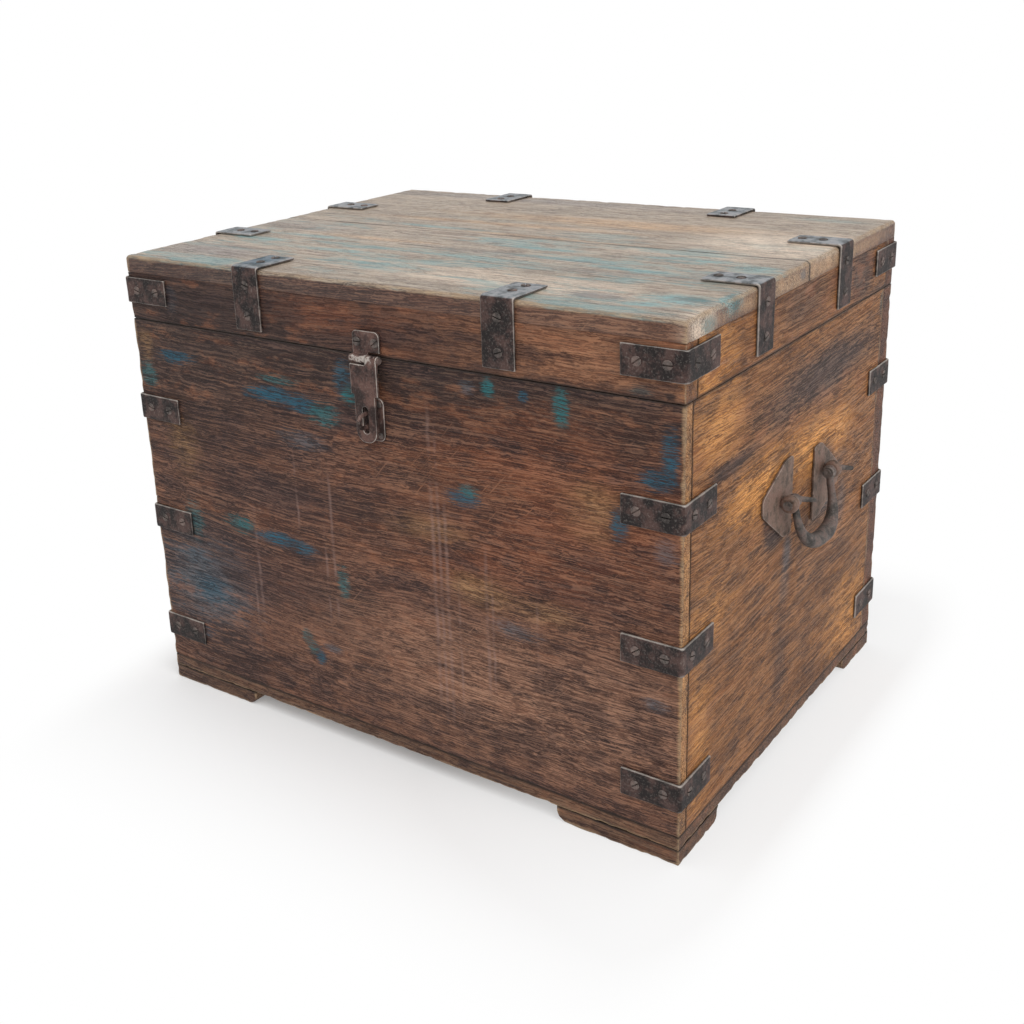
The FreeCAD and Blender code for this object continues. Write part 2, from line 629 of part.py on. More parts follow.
hasp_slot = join("hasp_slot", [
    box("slot_middle", "hasp_slot_width", "hasp_thick + 2 * overrun", "hasp_slot_height - hasp_slot_width",
        "hasp_offset - hasp_slot_width / 2", slot_front, "staple_height - " + slot_half),
    rod("slot_upper_end", "hasp_slot_width / 2", "hasp_thick + 2 * overrun",
        "hasp_offset", slot_front, "staple_height + " + slot_half, TO_BACK),
    rod("slot_lower_end", "hasp_slot_width / 2", "hasp_thick + 2 * overrun",
        "hasp_offset", slot_front, "staple_height - " + slot_half, TO_BACK),
])
hasp_knuckle_start = "hasp_knuckle_split + knuckle_gap"
hasp_knuckle_length = "hasp_half - hasp_knuckle_split - knuckle_gap"
sub_part(cut("hasp_strap", join("hasp_strap_blank", [
    hasp_plate,
    hasp_rod("hasp_knuckle", "hasp_barrel_radius", hasp_knuckle_length, hasp_knuckle_start),
]), hasp_slot, hasp_rod("hasp_pin_bore", "hasp_pin_radius + pin_clearance", "hasp_width", "(-hasp_half)")),
    "hasp_strap")

# The staple stands in an upright plane, with its ends bent over inside.
plate_blank = block("plate_blank", "staple_plate_width", "staple_plate_thick", "staple_plate_height",
                    "hasp_offset - staple_plate_width / 2", "-half_depth - staple_plate_thick",
                    "staple_height - staple_plate_height / 2", "staple_plate_rounding",
                    lambda reach: lambda middle: abs(middle.y - reach.Center.y) < SAME_PLACE)
nails, nail_bores = fixings("plate_fixings", [
    (f"hasp_offset + {across} * nail_across", "-half_depth - staple_plate_thick",
     f"staple_height + {up} * nail_up", TO_FRONT)
    for across in (-1, 1) for up in (-1, 1)
], nail, nail_bore)
carcass_bores.append(nail_bores)

staple_leg = "front_thick + staple_bend_reach"
staple_pieces = [doc.addObject("Part::Torus", "staple_bend")]
bind(staple_pieces[0], Radius1="staple_loop_radius", Radius2="staple_wire_radius")
staple_pieces[0].Angle3 = 180
put(staple_pieces[0], "hasp_offset", "-half_depth - staple_bend_reach", "staple_height",
    Rotation(UP, -BACKWARD, ACROSS, "XYZ"))
staple_bores = []
for side, sign, clench_start in (("upper", "+", ""), ("lower", "-", " - clench_length")):
    height = f"staple_height {sign} staple_loop_radius"
    leg_place = ("hasp_offset", "-half_depth - staple_bend_reach", height, TO_BACK)
    staple_pieces.append(rod(f"staple_leg_{side}", "staple_wire_radius",
                             staple_leg + " + staple_wire_radius", *leg_place))
    staple_bores.append(rod(f"staple_bore_{side}", "staple_wire_radius", staple_leg + " + overrun", *leg_place))
    inside = "front_thick - half_depth + staple_wire_radius"
    staple_pieces.append(ball(f"staple_elbow_{side}", "staple_wire_radius", "hasp_offset", inside, height))
    staple_pieces.append(rod(f"staple_clench_{side}", "staple_wire_radius", "clench_length",
                             "hasp_offset", inside, height + clench_start))
staple_holes = gather("staple_holes", staple_bores)
sub_part(join("staple", staple_pieces), "staple")
sub_part(cut("staple_plate", plate_blank, nail_bores, staple_holes), "staple_plate")
sub_part(nails, "staple_plate_nails")
carcass_bores.append(staple_holes)

# A handle stands at the origin on the right end board's face, at the height of
# its pins. X runs outwards. The plate and the eye are those at the front.
handle_plate_body = new_body("handle_plate_body")
handle_plate_pad = pad(handle_plate_body, "handle_plate_pad",
                       outline(handle_plate_body, "handle_plate_outline", "YZ_Plane", (
                           ("-plate_gap - plate_length", "plate_end_lift + plate_end_height / 2"),
                           ("-plate_gap - plate_length", "plate_end_lift - plate_end_height / 2"),
                           ("-plate_gap - plate_shoulder", "-plate_height / 2"),
                           ("-plate_gap", "-plate_height / 2"),
                           ("-plate_gap", "plate_height / 2"),
                           ("-plate_gap - plate_shoulder", "plate_height / 2"),
                       )), "strap_thick")
plate_roundings = (
    ("plate_shoulders", "plate_shoulder_rounding", lambda middle: (
        abs(middle.y + sizes.plate_gap + sizes.plate_shoulder) < SAME_PLACE
        and abs(middle.x - sizes.strap_thick / 2) < SAME_PLACE)),
    ("plate_end", "plate_end_rounding", lambda middle: (
        abs(middle.y + sizes.plate_gap + sizes.plate_length) < SAME_PLACE
        and abs(middle.x - sizes.strap_thick / 2) < SAME_PLACE)),
    ("plate_corners", "plate_corner_rounding", lambda middle: (
        abs(middle.y + sizes.plate_gap) < SAME_PLACE
        and abs(middle.x - sizes.strap_thick / 2) < SAME_PLACE)),
)
plate_feature = handle_plate_pad
for name, radius, test in plate_roundings:
    plate_feature = body_rounding(handle_plate_body, name, plate_feature, radius, test)
eye_bore = rod("eye_bore", "eye_stem_radius", "end_thick + strap_thick + 2 * overrun",
               "-end_thick - overrun", "-eye_spacing", "0", TO_RIGHT)
eye_bores = gather("eye_bores", [eye_bore])

eye_start = "-eye_spacing - eye_width / 2"
handle_eye = cut("handle_eye", join("eye_whole", [
    drum("eye_ring", "eye_radius", "eye_width", "eye_rounding", "eye_reach", eye_start, "0", TO_BACK),
    rod("eye_stem", "eye_stem_radius", "end_thick + eye_reach", "-end_thick", "-eye_spacing", "0", TO_RIGHT),
    box("eye_clench", "clench_thick", "2 * eye_stem_radius", "2 * eye_stem_radius + 2 * clench_length",
        "-end_thick - clench_thick", "-eye_spacing - eye_stem_radius", "-eye_stem_radius - clench_length"),
]), rod("eye_hole", "handle_pin_radius", "eye_width + 2 * overrun", "eye_reach",
        "-eye_spacing - eye_width / 2 - overrun", "0", TO_BACK))

# Each pin is a stout nail driven backwards through an eye and a ring of the
# bail, its blunt end bent outwards. It starts below its head.
pin_length = "eye_width + ring_width + 3 * ring_gap"
pin_tip = doc.addObject("Part::Cone", "handle_pin_tip")
bind(pin_tip, Radius1="handle_pin_radius", Radius2="handle_pin_tip_radius", Height="handle_pin_tip")
put(pin_tip, "0", pin_length, "0", Rotation(UP, PIN_TIP_WAY))
handle_pin = join("handle_pin", [
    rod("handle_pin_head", "handle_pin_head_radius", "pin_head", "0", "-pin_head", "0", TO_BACK),
    rod("handle_pin_shank", "handle_pin_radius", pin_length, turn=TO_BACK),
    ball("handle_pin_elbow", "handle_pin_radius", "0", pin_length),
    pin_tip,
])
handle_pins = gather("handle_pins", [
    copy_of(handle_pin, "handle_pin_front", "eye_reach", eye_start),
    copy_of(handle_pin, "handle_pin_back", "eye_reach", "ring_spacing - ring_width / 2 - ring_gap"),
])

# The bail's bar is a fuller U than a half circle. Its sections are given by the
# share of the turn from a leg to the lowest point and by the share of the swelling.
CURVE_POWER = 0.77
BAR_SHARES = ((0.0, 0.04), (0.25, 0.3), (0.5, 0.62), (0.75, 0.9), (1.0, 1.0))


def bar_point(turn_share):
    """A point of the bar's middle line: shares of its half width and of its drop."""
    angle = turn_share * math.pi / 2
    sign = -1 if turn_share < 1 else 1
    return sign * abs(math.cos(angle)) ** CURVE_POWER, abs(math.sin(angle)) ** CURVE_POWER


def bar_section(name, y, z, radius, turn):
    ring = doc.addObject("Part::Circle", name)
    bind(ring, Radius=radius)
    return put(ring, "0", y, z, Rotation(ACROSS, turn))


def bar_sections():
    """The bar's sections from the front leg's top, round to the back one's."""
    curve = list(BAR_SHARES) + [(2 - share, swell) for share, swell in reversed(BAR_SHARES[:-1])]
    points = [bar_point(share) for share, swell in curve]
    width = sizes.ring_spacing
    drop = sizes.bail_curve_drop
    root = "-(ring_radius + handle_pin_radius) / 2"
    sections = [bar_section("bar_front", "-ring_spacing", root, "bail_leg_radius", 180)]
    for number, (share, swell) in enumerate(curve):
        across, down = points[number]
        before = points[max(number - 1, 0)]
        after = points[min(number + 1, len(points) - 1)]
        run = (after[0] - before[0]) * width + (after[1] ** 2 - before[1] ** 2) * sizes.bail_sway
        fall = (after[1] - before[1]) * drop
        turn = 180 + math.degrees(math.atan2(run, fall))
        if number in (0, len(curve) - 1):
            turn = 180 if number == 0 else 360
        sections.append(bar_section(
            f"bar_{number}", f"ring_spacing * ({across:.5f}) + bail_sway * {down ** 2:.5f}",
            f"-bail_leg_drop - bail_curve_drop * {down:.5f}",
            f"bail_leg_radius + (bail_grip_radius - bail_leg_radius) * {swell}", turn))
    sections.append(bar_section("bar_back", "ring_spacing", root, "bail_leg_radius", 360))
    return sections


bail_bar = doc.addObject("Part::Loft", "bail_bar")
bail_bar.Sections = bar_sections()
bail_bar.Solid = True
bail = cut("bail", join("bail_whole", [
    bail_bar,
    drum("ring_front", "ring_radius", "ring_width", "ring_rounding", "0", "-ring_spacing - ring_width / 2",
         "0", TO_BACK),
    drum("ring_back", "ring_radius", "ring_width", "ring_rounding", "0", "ring_spacing - ring_width / 2",
         "0", TO_BACK),
]), rod("ring_bore", "handle_pin_radius + pin_clearance", "2 * ring_spacing + 2 * ring_width", "0",
        "-ring_spacing - ring_width", "0", TO_BACK))

# Where the handles go. The left one is the right one turned half round.
HANDLES = (
    ("right", "half_length", "half_length + eye_reach", STRAIGHT, ("front", "back")),
    ("left", "-half_length", "-half_length - eye_reach", Rotation(UP, 180), ("back", "front")),
)
for side, x, pin_x, turn, ends in HANDLES:
    for end, flip, drop in zip(ends, (STRAIGHT, Rotation(ACROSS, 180)), ("0", "plate_drop")):
        facing = turn.multiply(flip)
        place = (x, "handle_shift", "handle_height", facing)
        eye_way = copy_of(eye_bores, f"eye_bores_{side}_{end}", *place)
        plate = copy_of(handle_plate_body, f"plate_{side}_{end}", x, "handle_shift",
                        "handle_height - " + drop, facing)
        sub_part(cut(f"plate_{side}_{end}_bored", plate, eye_way), f"handle_plate_{side}_{end}")
        sub_part(copy_of(handle_eye, f"eye_{side}_{end}", *place), f"handle_eye_{side}_{end}")
        carcass_bores.append(eye_way)
    sub_part(copy_of(handle_pins, f"pins_{side}", x, "handle_shift", "handle_height", turn),
             f"handle_pins_{side}")
    lean = turn.multiply(Rotation(BACKWARD, -sizes.bail_lean))
    sub_part(copy_of(bail, f"bail_{side}_piece", pin_x, "handle_shift", "handle_height", lean), f"bail_{side}")

# The wood. The front boards have a rebate at each end, and their lip covers the
# ends of the end boards. The back board runs over them in full.
all_carcass_bores = gather("all_carcass_bores", carcass_bores)
all_lid_bores = gather("all_lid_bores", lid_bores)

for name, bottom, top in (
    ("front_lower_board", "floor_board_top", "front_seam_height"),
    ("front_upper_board", "front_seam_height", "carcass_top"),
):
    height = f"{top} - {bottom}"
    plank = box(name + "_plank", "chest_length", "front_thick", height, "-half_length", "-half_depth", bottom)
    rebates = [
        box(f"{name}_rebate_{side}", "end_thick + overrun", "front_thick - corner_lap + overrun",
            height, start, "corner_lap - half_depth", bottom)
        for side, start in (("left", "-half_length - overrun"), ("right", "half_length - end_thick"))
    ]
    sub_part(cut(name, plank, all_carcass_bores, *rebates), name)

side_height = "carcass_top - floor_board_top"
sub_part(cut("back_board", box("back_plank", "chest_length", "back_thick", side_height, "-half_length",
                               "half_depth - back_thick", "floor_board_top"), all_carcass_bores), "back_board")
for side, start in (("left", "-half_length"), ("right", "half_length - end_thick")):
    plank = box(f"{side}_end_plank", "end_thick", "end_board_depth", side_height, start,
                "corner_lap - half_depth", "floor_board_top")
    sub_part(cut(f"{side}_end_board", plank, all_carcass_bores), f"{side}_end_board")
sub_part(box("bottom_board", "chest_length", "chest_depth", "bottom_thick", "-half_length", "-half_depth",
             "foot_height"), "bottom_board")

for side, x_start, inner_x in (
    ("left", "-half_length", "XMax"),
    ("right", "half_length - foot_length", "XMin"),
):
    for end, y_start, inner_y in (
        ("front", "-half_depth", "YMax"),
        ("back", "half_depth - foot_width", "YMin"),
    ):
        sub_part(block(f"foot_{end}_{side}", "foot_length", "foot_width", "foot_height", x_start, y_start, "0",
                       "foot_rounding", lambda reach, inner_x=inner_x, inner_y=inner_y: lambda middle: (
                           abs(middle.z) < SAME_PLACE
                           and (abs(middle.x - getattr(reach, inner_x)) < SAME_PLACE
                                or abs(middle.y - getattr(reach, inner_y)) < SAME_PLACE))),
                 f"foot_{end}_{side}")

# The lid: a frame of four rails under two boards with rounded upper edges.
for name, start, depth, outer_y in (
    ("lid_front_board", "-half_depth", "half_depth + lid_seam", "YMin"),
    ("lid_back_board", "lid_seam", "half_depth - lid_seam", "YMax"),
):
    plank = block(name + "_plank", "chest_length", depth, "top_thick", "-half_length", start,
                  "lid_board_bottom", "lid_edge_radius", lambda reach, outer_y=outer_y: lambda middle: (
                      abs(middle.z - reach.ZMax) < SAME_PLACE
                      and (abs(middle.y - getattr(reach, outer_y)) < SAME_PLACE
                           or abs(middle.x) > reach.XMax - SAME_PLACE)))
    sub_part(cut(name, plank, all_lid_bores), name)
for name, start in (("lid_front_rail", "-half_depth"), ("lid_back_rail", "half_depth - rail_thick")):
    plank = box(name + "_plank", "chest_length", "rail_thick", "rail_height", "-half_length", start,
                "lid_bottom")
    sub_part(cut(name, plank, all_lid_bores), name)
for name, start in (("lid_left_rail", "-half_length"), ("lid_right_rail", "half_length - rail_thick")):
    plank = box(name + "_plank", "rail_thick", "chest_depth - 2 * rail_thick", "rail_height", start,
                "rail_thick - half_depth", "lid_bottom")
    sub_part(cut(name, plank, all_lid_bores), name)

doc.recompute()
for thing in doc.Objects:
    if {"Invalid", "Error"} & set(thing.State):
        raise RuntimeError(f"{thing.Name} failed: {thing.State}")

os.makedirs("parts", exist_ok=True)
for thing in sub_parts:
    shape = Part.getShape(thing)
    if shape.isNull() or not shape.isValid() or not shape.Solids:
        raise RuntimeError(f"{thing.Label} has no sound shape")
    solids = shape.Solids
    piece = solids[0] if len(solids) == 1 else Part.makeCompound(solids)
    piece.exportStep(f"parts/{thing.Label}.step")
    print(f"{thing.Label}: {len(solids)} solid(s), {piece.Volume / 1000:.1f} cm3")
print(f"{len(sub_parts)} sub-parts")
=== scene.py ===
"""The damchiya chest: weathered hardwood boards, iron straps, a hasp and a bail handle on each end."""

import json
from math import exp, radians

import bmesh
import bpy
from bpy.props import FloatProperty, FloatVectorProperty, PointerProperty
from bpy.types import Operator, Panel, PropertyGroup
from mathutils import Matrix, Vector, noise

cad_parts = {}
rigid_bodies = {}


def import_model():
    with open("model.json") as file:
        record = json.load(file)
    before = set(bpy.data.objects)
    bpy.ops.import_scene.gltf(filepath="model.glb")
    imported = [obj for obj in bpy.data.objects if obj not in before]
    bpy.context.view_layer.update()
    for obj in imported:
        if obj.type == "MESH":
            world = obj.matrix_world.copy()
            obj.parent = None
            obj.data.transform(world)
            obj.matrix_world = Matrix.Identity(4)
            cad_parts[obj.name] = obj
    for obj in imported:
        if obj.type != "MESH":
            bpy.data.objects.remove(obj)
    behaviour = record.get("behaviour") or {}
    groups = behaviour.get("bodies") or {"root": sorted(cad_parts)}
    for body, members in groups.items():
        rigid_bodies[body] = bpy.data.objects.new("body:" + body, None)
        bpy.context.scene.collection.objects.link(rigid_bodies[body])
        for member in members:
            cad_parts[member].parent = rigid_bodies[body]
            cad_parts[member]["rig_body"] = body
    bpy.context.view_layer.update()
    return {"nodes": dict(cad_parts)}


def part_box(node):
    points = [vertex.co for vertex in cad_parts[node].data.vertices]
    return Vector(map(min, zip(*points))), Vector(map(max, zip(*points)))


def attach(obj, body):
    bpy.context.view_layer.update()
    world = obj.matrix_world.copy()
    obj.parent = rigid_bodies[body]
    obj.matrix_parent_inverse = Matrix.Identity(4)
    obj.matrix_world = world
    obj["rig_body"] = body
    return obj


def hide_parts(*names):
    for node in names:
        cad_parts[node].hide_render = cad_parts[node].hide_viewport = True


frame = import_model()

bl_info = {
    "name": "Damchiya chest",
    "version": (1, 0, 0),
    "blender": (4, 5, 0),
    "location": "3D View > Sidebar > Chest",
    "description": "Builds the weathered boards and irons of a damchiya chest round its solid frame",
    "category": "Object",
}

HALF_LENGTH = 0.305
HALF_DEPTH = 0.230
HEIGHT = 0.470

ZERO = (0.0, 0.0, 0.0)
WHITE = (1.0, 1.0, 1.0, 1.0)
GRAIN_PARTS = ("Bands", "Fibres", "Fine", "Marks", "Cloud", "Mottle")
SAW_SLANT = 0.16  # rise of the saw marks over their run
SCRATCH_TURN = 0.85  # radians between the scratches and the grain
LINE_FADE = 0.04  # length over which the end of a rubbed line fades, in metres


def tone(red, green, blue):
    """A colour as it looks on a screen, 0 to 255, as the linear colour that a property holds."""
    return tuple(
        (part / 255 / 12.92) if part <= 10 else ((part / 255 + 0.055) / 1.055) ** 2.4
        for part in (red, green, blue)
    )


def colour(name, description, seen):
    return FloatVectorProperty(name=name, description=description, subtype="COLOR", size=3, min=0.0, max=1.0,
                               default=tone(*seen))


def length(name, description, metres, most=0.1):
    return FloatProperty(name=name, description=description, default=metres, min=0.0, max=most,
                         unit="LENGTH", precision=4)


class ChestWood(PropertyGroup):
    """Sizes and colours of the boards."""

    arris: length("Arris", "Width of the worn arrises of the boards", 0.0011)
    seam_arris: length("Seam arris", "Width of the arrises where two boards meet", 0.0004)
    lid_round: length("Lid rounding", "Rounding of the lid's upper edges", 0.004)
    foot_round: length("Foot rounding", "Rounding of the inner lower edges of the feet", 0.011)
    step: length("Face size", "Size of the faces that a board is cut into", 0.005)
    hollow: length("Hollows", "Depth of the shallow hollows over a board", 0.0004)
    chip: length("Chips", "Depth of the chips along the arrises", 0.0016)
    front: colour("Front", "Carcass front and back", (110, 71, 53))
    front_dark: colour("Front, dark", "Old varnish near the upper left of the front", (56, 36, 31))
    front_red: colour("Front, red", "Red-brown varnish at the right of the front", (132, 76, 48))
    front_grey: colour("Front, grey", "Rubbed lower part of the front", (146, 106, 84))
    varnish: colour("Varnish", "Dark remnants of varnish", (46, 30, 29))
    plum: colour("Plum", "Purple-brown bands of the varnish", (66, 40, 40))
    russet: colour("Russet", "Red-brown bands of the wood", (128, 82, 56))
    ends: colour("Ends", "Carcass ends", (138, 90, 48))
    ends_gold: colour("Ends, golden", "Golden parts of the ends", (214, 148, 78))
    # Besides smudges, this colour also paints shadows round and under the handle plates and the bail on the
    # right end.
    ends_dark: colour("Ends, dark", "Smudges on the ends", (70, 50, 43))
    lid: colour("Lid", "Bleached top of the lid", (164, 148, 130))
    lid_warm: colour("Lid, warm", "Tan streaks on top of the lid", (190, 154, 116))
    # Besides bleached parts, this colour also paints a sheen at the rear right of the lid.
    lid_pale: colour("Lid, bleached", "Sun-bleached parts of the lid", (222, 202, 180))
    lid_grey: colour("Lid, grey", "Grey streaks on top of the lid", (134, 126, 122))
    rails: colour("Rails", "Front and back of the lid", (96, 61, 46))
    rails_light: colour("Rails, light", "Right part of the lid's front", (158, 110, 80))
    base: colour("Base", "Bottom board and feet", (112, 80, 60))
    inside: colour("Inside", "Faces inside the chest", (134, 104, 78))
    pale: colour("Bare wood", "Wood rubbed bare along the arrises", (176, 148, 116))
    rub: colour("Rubbed lines", "Upright lines rubbed into the front", (158, 128, 118))
    blue: colour("Blue paint", "Remnants of blue paint", (26, 82, 102))
    teal: colour("Teal paint", "Remnants of blue-green paint", (36, 102, 106))
    tan: colour("Tan", "Tan parts of the front", (150, 114, 76))
    wash: colour("Wash", "Thin blue-green wash on top of the lid", (112, 156, 158))
    # Besides a film of paint, this colour also paints a grey shadow under the bail on the right end.
    haze: colour("Haze", "Thin film of blue-grey paint", (74, 88, 98))


class ChestIron(PropertyGroup):
    """Sizes and colours of the ironwork."""

    grain: length("Voxel", "Size of the faces of the forged irons", 0.0009)
    dent: length("Dents", "Depth of the dents in the irons", 0.00022)
    strap: colour("Straps", "Iron straps", (42, 31, 30))
    hasp: colour("Hasp", "Hasp, staple and its plate", (70, 50, 46))
    handle: colour("Handles", "Plates and eyes of the handles", (122, 101, 88))
    bail: colour("Bails", "Bails of the handles", (98, 92, 88))
    screw: colour("Screws", "Heads of the screws", (98, 90, 86))
    rust: colour("Rust", "Rusty blotches", (82, 60, 53))
    worn: colour("Worn iron", "Rubbed edges of the iron", (186, 178, 170))
    # A lighter, bluer iron for the legs of the straps that lie on top of the lid: a painted sheen.
    top: colour("Iron on the lid", "Legs of the straps on top of the lid", (138, 144, 148))


class ChestStage(PropertyGroup):
    """Camera, floor and lamps."""

    eye: FloatVectorProperty(name="Camera", description="Place of the camera", subtype="TRANSLATION",
                             unit="LENGTH", size=3, default=(0.70795, -1.05278, 0.69954))
    heading: FloatProperty(name="Heading", description="Turn of the camera from straight ahead",
                           unit="ROTATION", default=radians(36.675))
    fall: FloatProperty(name="Fall", description="Tilt of the camera below the horizon", unit="ROTATION",
                        default=radians(18.931))
    roll: FloatProperty(name="Roll", description="Roll of the camera", unit="ROTATION",
                        default=radians(-2.545))
    lens: FloatProperty(name="Lens", description="Focal length in millimetres", default=45.23, min=1.0)
    shift_across: FloatProperty(name="Shift across", description="Frames the chest", default=0.0524)
    shift_up: FloatProperty(name="Shift up", description="Frames the chest", default=-0.0747)
    floor: colour("Floor", "Pale floor", (250, 250, 250))
    sky: FloatProperty(name="Sky", description="Strength of the even light", default=0.5, min=0.0)
    above: FloatProperty(name="Above", description="Strength of the lamp above", default=0.9, min=0.0)
    side: FloatProperty(name="Side", description="Strength of the lamp at the right", default=1.15, min=0.0)


# Node trees.

class Nodes:
    """Adds nodes to a tree. Each call gives one output of its node."""

    def __init__(self, tree):
        self.tree = tree

    def feed(self, socket, value):
        if isinstance(value, bpy.types.NodeSocket):
            self.tree.links.new(value, socket)
        elif socket.type == "RGBA" and len(value) == 3:
            socket.default_value = (*value, 1.0)
        else:
            socket.default_value = value

    def add(self, kind, inputs=None, out=0, **settings):
        node = self.tree.nodes.new("ShaderNode" + kind)
        for name, value in settings.items():
            setattr(node, name, value)
        for socket, value in (inputs or {}).items():
            self.feed(node.inputs[socket], value)
        return node.outputs[out]

    def math(self, operation, first, second=0.0):
        return self.add("Math", {0: first, 1: second}, operation=operation)

    def times(self, first, second):
        return self.math("MULTIPLY", first, second)

    def plus(self, first, second):
        return self.math("ADD", first, second)

    def larger(self, first, second):
        return self.math("MAXIMUM", first, second)

    def swing(self, value, reach):
        """A noise about 0.5 becomes one about 0, times the reach."""
        return self.times(self.math("SUBTRACT", value, 0.5), reach)

    def sum(self, first, share, second, other):
        """The first times its share, plus the second times the other share."""
        return self.plus(self.times(first, share), self.times(second, other))

    def even(self, value):
        return self.add("CombineXYZ", {0: value, 1: value, 2: value})

    def vector(self, operation, first, second=(0.0, 0.0, 0.0), out=0):
        return self.add("VectorMath", {0: first, 1: second}, out=out, operation=operation)

    def noise(self, place, along, across, detail=3.0, roughness=0.6, out=0):
        """A noise with its own scale along the grain and across it."""
        return self.add("TexNoise", {"Vector": self.vector("MULTIPLY", place, (along, across, across)),
                                     "Scale": 1.0, "Detail": detail, "Roughness": roughness}, out=out)

    def fit(self, value, start, end, low=0.0, high=1.0):
        """value from start to end becomes low to high, with soft ends."""
        return self.add("MapRange", {0: value, 1: start, 2: end, 3: low, 4: high},
                        interpolation_type="SMOOTHSTEP")

    def mix(self, share, first, second, how="MIX"):
        return self.add("Mix", {0: share, 6: first, 7: second}, out=2, data_type="RGBA", blend_type=how)

    def tinted(self, share, colour, tint):
        """A colour times a tint, by that share."""
        return self.mix(share, colour, self.mix(1.0, colour, tint, "MULTIPLY"))

    def shared(self, tree, **inputs):
        """A shared group placed here with its own values; gives its outputs by name."""
        node = self.tree.nodes.new("ShaderNodeGroup")
        node.node_tree = tree
        for socket, value in inputs.items():
            self.feed(node.inputs[socket], value)
        return {output.name: output for output in node.outputs}


def shared_tree(name, inputs, outputs, fill):
    """A node group that several materials use, made once. The outputs that aren't colours are numbers."""
    tree = bpy.data.node_groups.get(name)
    if tree is None:
        tree = bpy.data.node_groups.new(name, "ShaderNodeTree")
        for socket, value in inputs.items():
            kind = {3: "Vector", 4: "Color"}[len(value)] if isinstance(value, tuple) else "Float"
            item = tree.interface.new_socket(name=socket, in_out="INPUT", socket_type="NodeSocket" + kind)
            item.default_value = value
        for socket in outputs:
            kind = "Color" if socket == "Colour" else "Float"
            tree.interface.new_socket(name=socket, in_out="OUTPUT", socket_type="NodeSocket" + kind)
        entry = tree.nodes.new("NodeGroupInput")
        results = tree.nodes.new("NodeGroupOutput")
        nodes = Nodes(tree)
        for socket, value in fill(nodes, entry.outputs).items():
            nodes.feed(results.inputs[socket], value)
    return tree


def grain_tree():
    """Fibres, broad bands, clouds, and the saw marks, scratches and specks of wood whose grain runs along X."""

    def warp(nodes, noise, reach):
        return nodes.vector("MULTIPLY", nodes.vector("SUBTRACT", noise, (0.5, 0.5, 0.5)), (0.0, reach, reach))

    def fill(nodes, given):
        place = nodes.vector("ADD", given["Vector"], nodes.even(given["Seed"]))
        bent = nodes.vector("ADD", place, warp(nodes, nodes.noise(place, 2.2, 7.0, 2.0, 0.5, out=1), 0.045))
        wrinkles = warp(nodes, nodes.noise(place, 60.0, 120.0, 3.0, 0.6, out=1), 0.0035)
        bent = nodes.vector("ADD", bent, wrinkles)
        slant = nodes.times(nodes.add("SeparateXYZ", {0: place}), SAW_SLANT)
        slanted = nodes.vector("ADD", place, nodes.add("CombineXYZ", {1: slant, 2: slant}))
        cloud = nodes.noise(bent, 14.0, 34.0, 7.0, 0.70)
        turned = nodes.add("VectorRotate", {"Vector": place, "Axis": (0.0, 1.0, 0.0), "Angle": SCRATCH_TURN})
        scratches = nodes.times(nodes.fit(nodes.noise(turned, 22.0, 760.0, 1.0, 0.5), 0.66, 0.74),
                                nodes.fit(cloud, 0.48, 0.60))
        specks = nodes.fit(nodes.noise(place, 620.0, 900.0, 2.0, 0.6), 0.58, 0.74, 0.0, 0.75)
        sawn = nodes.fit(nodes.noise(slanted, 16.0, 640.0, 2.0, 0.55), 0.57, 0.72)
        return {
            "Bands": nodes.fit(nodes.noise(bent, 2.4, 36.0, 4.0, 0.62), 0.32, 0.68),
            "Fibres": nodes.fit(nodes.noise(bent, 7.0, 640.0, 3.0, 0.7), 0.34, 0.66),
            "Fine": nodes.fit(nodes.noise(bent, 22.0, 1300.0, 2.0, 0.6), 0.36, 0.64),
            "Marks": nodes.larger(sawn, nodes.larger(scratches, specks)),
            "Cloud": cloud,
            "Mottle": nodes.fit(nodes.noise(place, 34.0, 80.0, 5.0, 0.66), 0.33, 0.67),
        }

    return shared_tree("wood_grain", {"Vector": ZERO, "Seed": 0.0}, GRAIN_PARTS, fill)


def tones_tree():
    """A board's colour: dark pores, pale raised fibres, and dark varnish where it has stayed."""

    def fill(nodes, given):
        streak = nodes.sum(given["Fibres"], 0.5, given["Fine"], 0.5)
        bands = nodes.times(nodes.fit(given["Bands"], 0.0, 1.0, 0.80, 1.18),
                            nodes.fit(given["Mottle"], 0.0, 1.0, 0.80, 1.20))
        mixed = nodes.tinted(given["Contrast"], given["Base"], nodes.even(bands))
        kept = nodes.plus(nodes.times(given["Cloud"], 1.5), nodes.swing(given["Fibres"], 0.20))
        kept = nodes.times(nodes.fit(kept, 0.70, 0.92), given["Varnish share"])
        mixed = nodes.mix(kept, mixed, given["Varnish"])
        pores = nodes.times(given["Contrast"], nodes.fit(given["Mottle"], 0.0, 1.0, 1.0, 0.7))
        mixed = nodes.tinted(nodes.times(nodes.fit(streak, 0.60, 0.24), pores), mixed, (0.40, 0.34, 0.34))
        raised = nodes.larger(nodes.fit(streak, 0.52, 0.80), given["Marks"])
        return {"Colour": nodes.mix(nodes.times(raised, given["Pale share"]), mixed, given["Pale"])}

    return shared_tree("wood_tones", {
        "Base": WHITE, "Pale": WHITE, "Varnish": WHITE, "Varnish share": 0.7, "Pale share": 0.5,
        "Contrast": 1.0, **{word: 0.5 for word in GRAIN_PARTS},
    }, ["Colour"], fill)


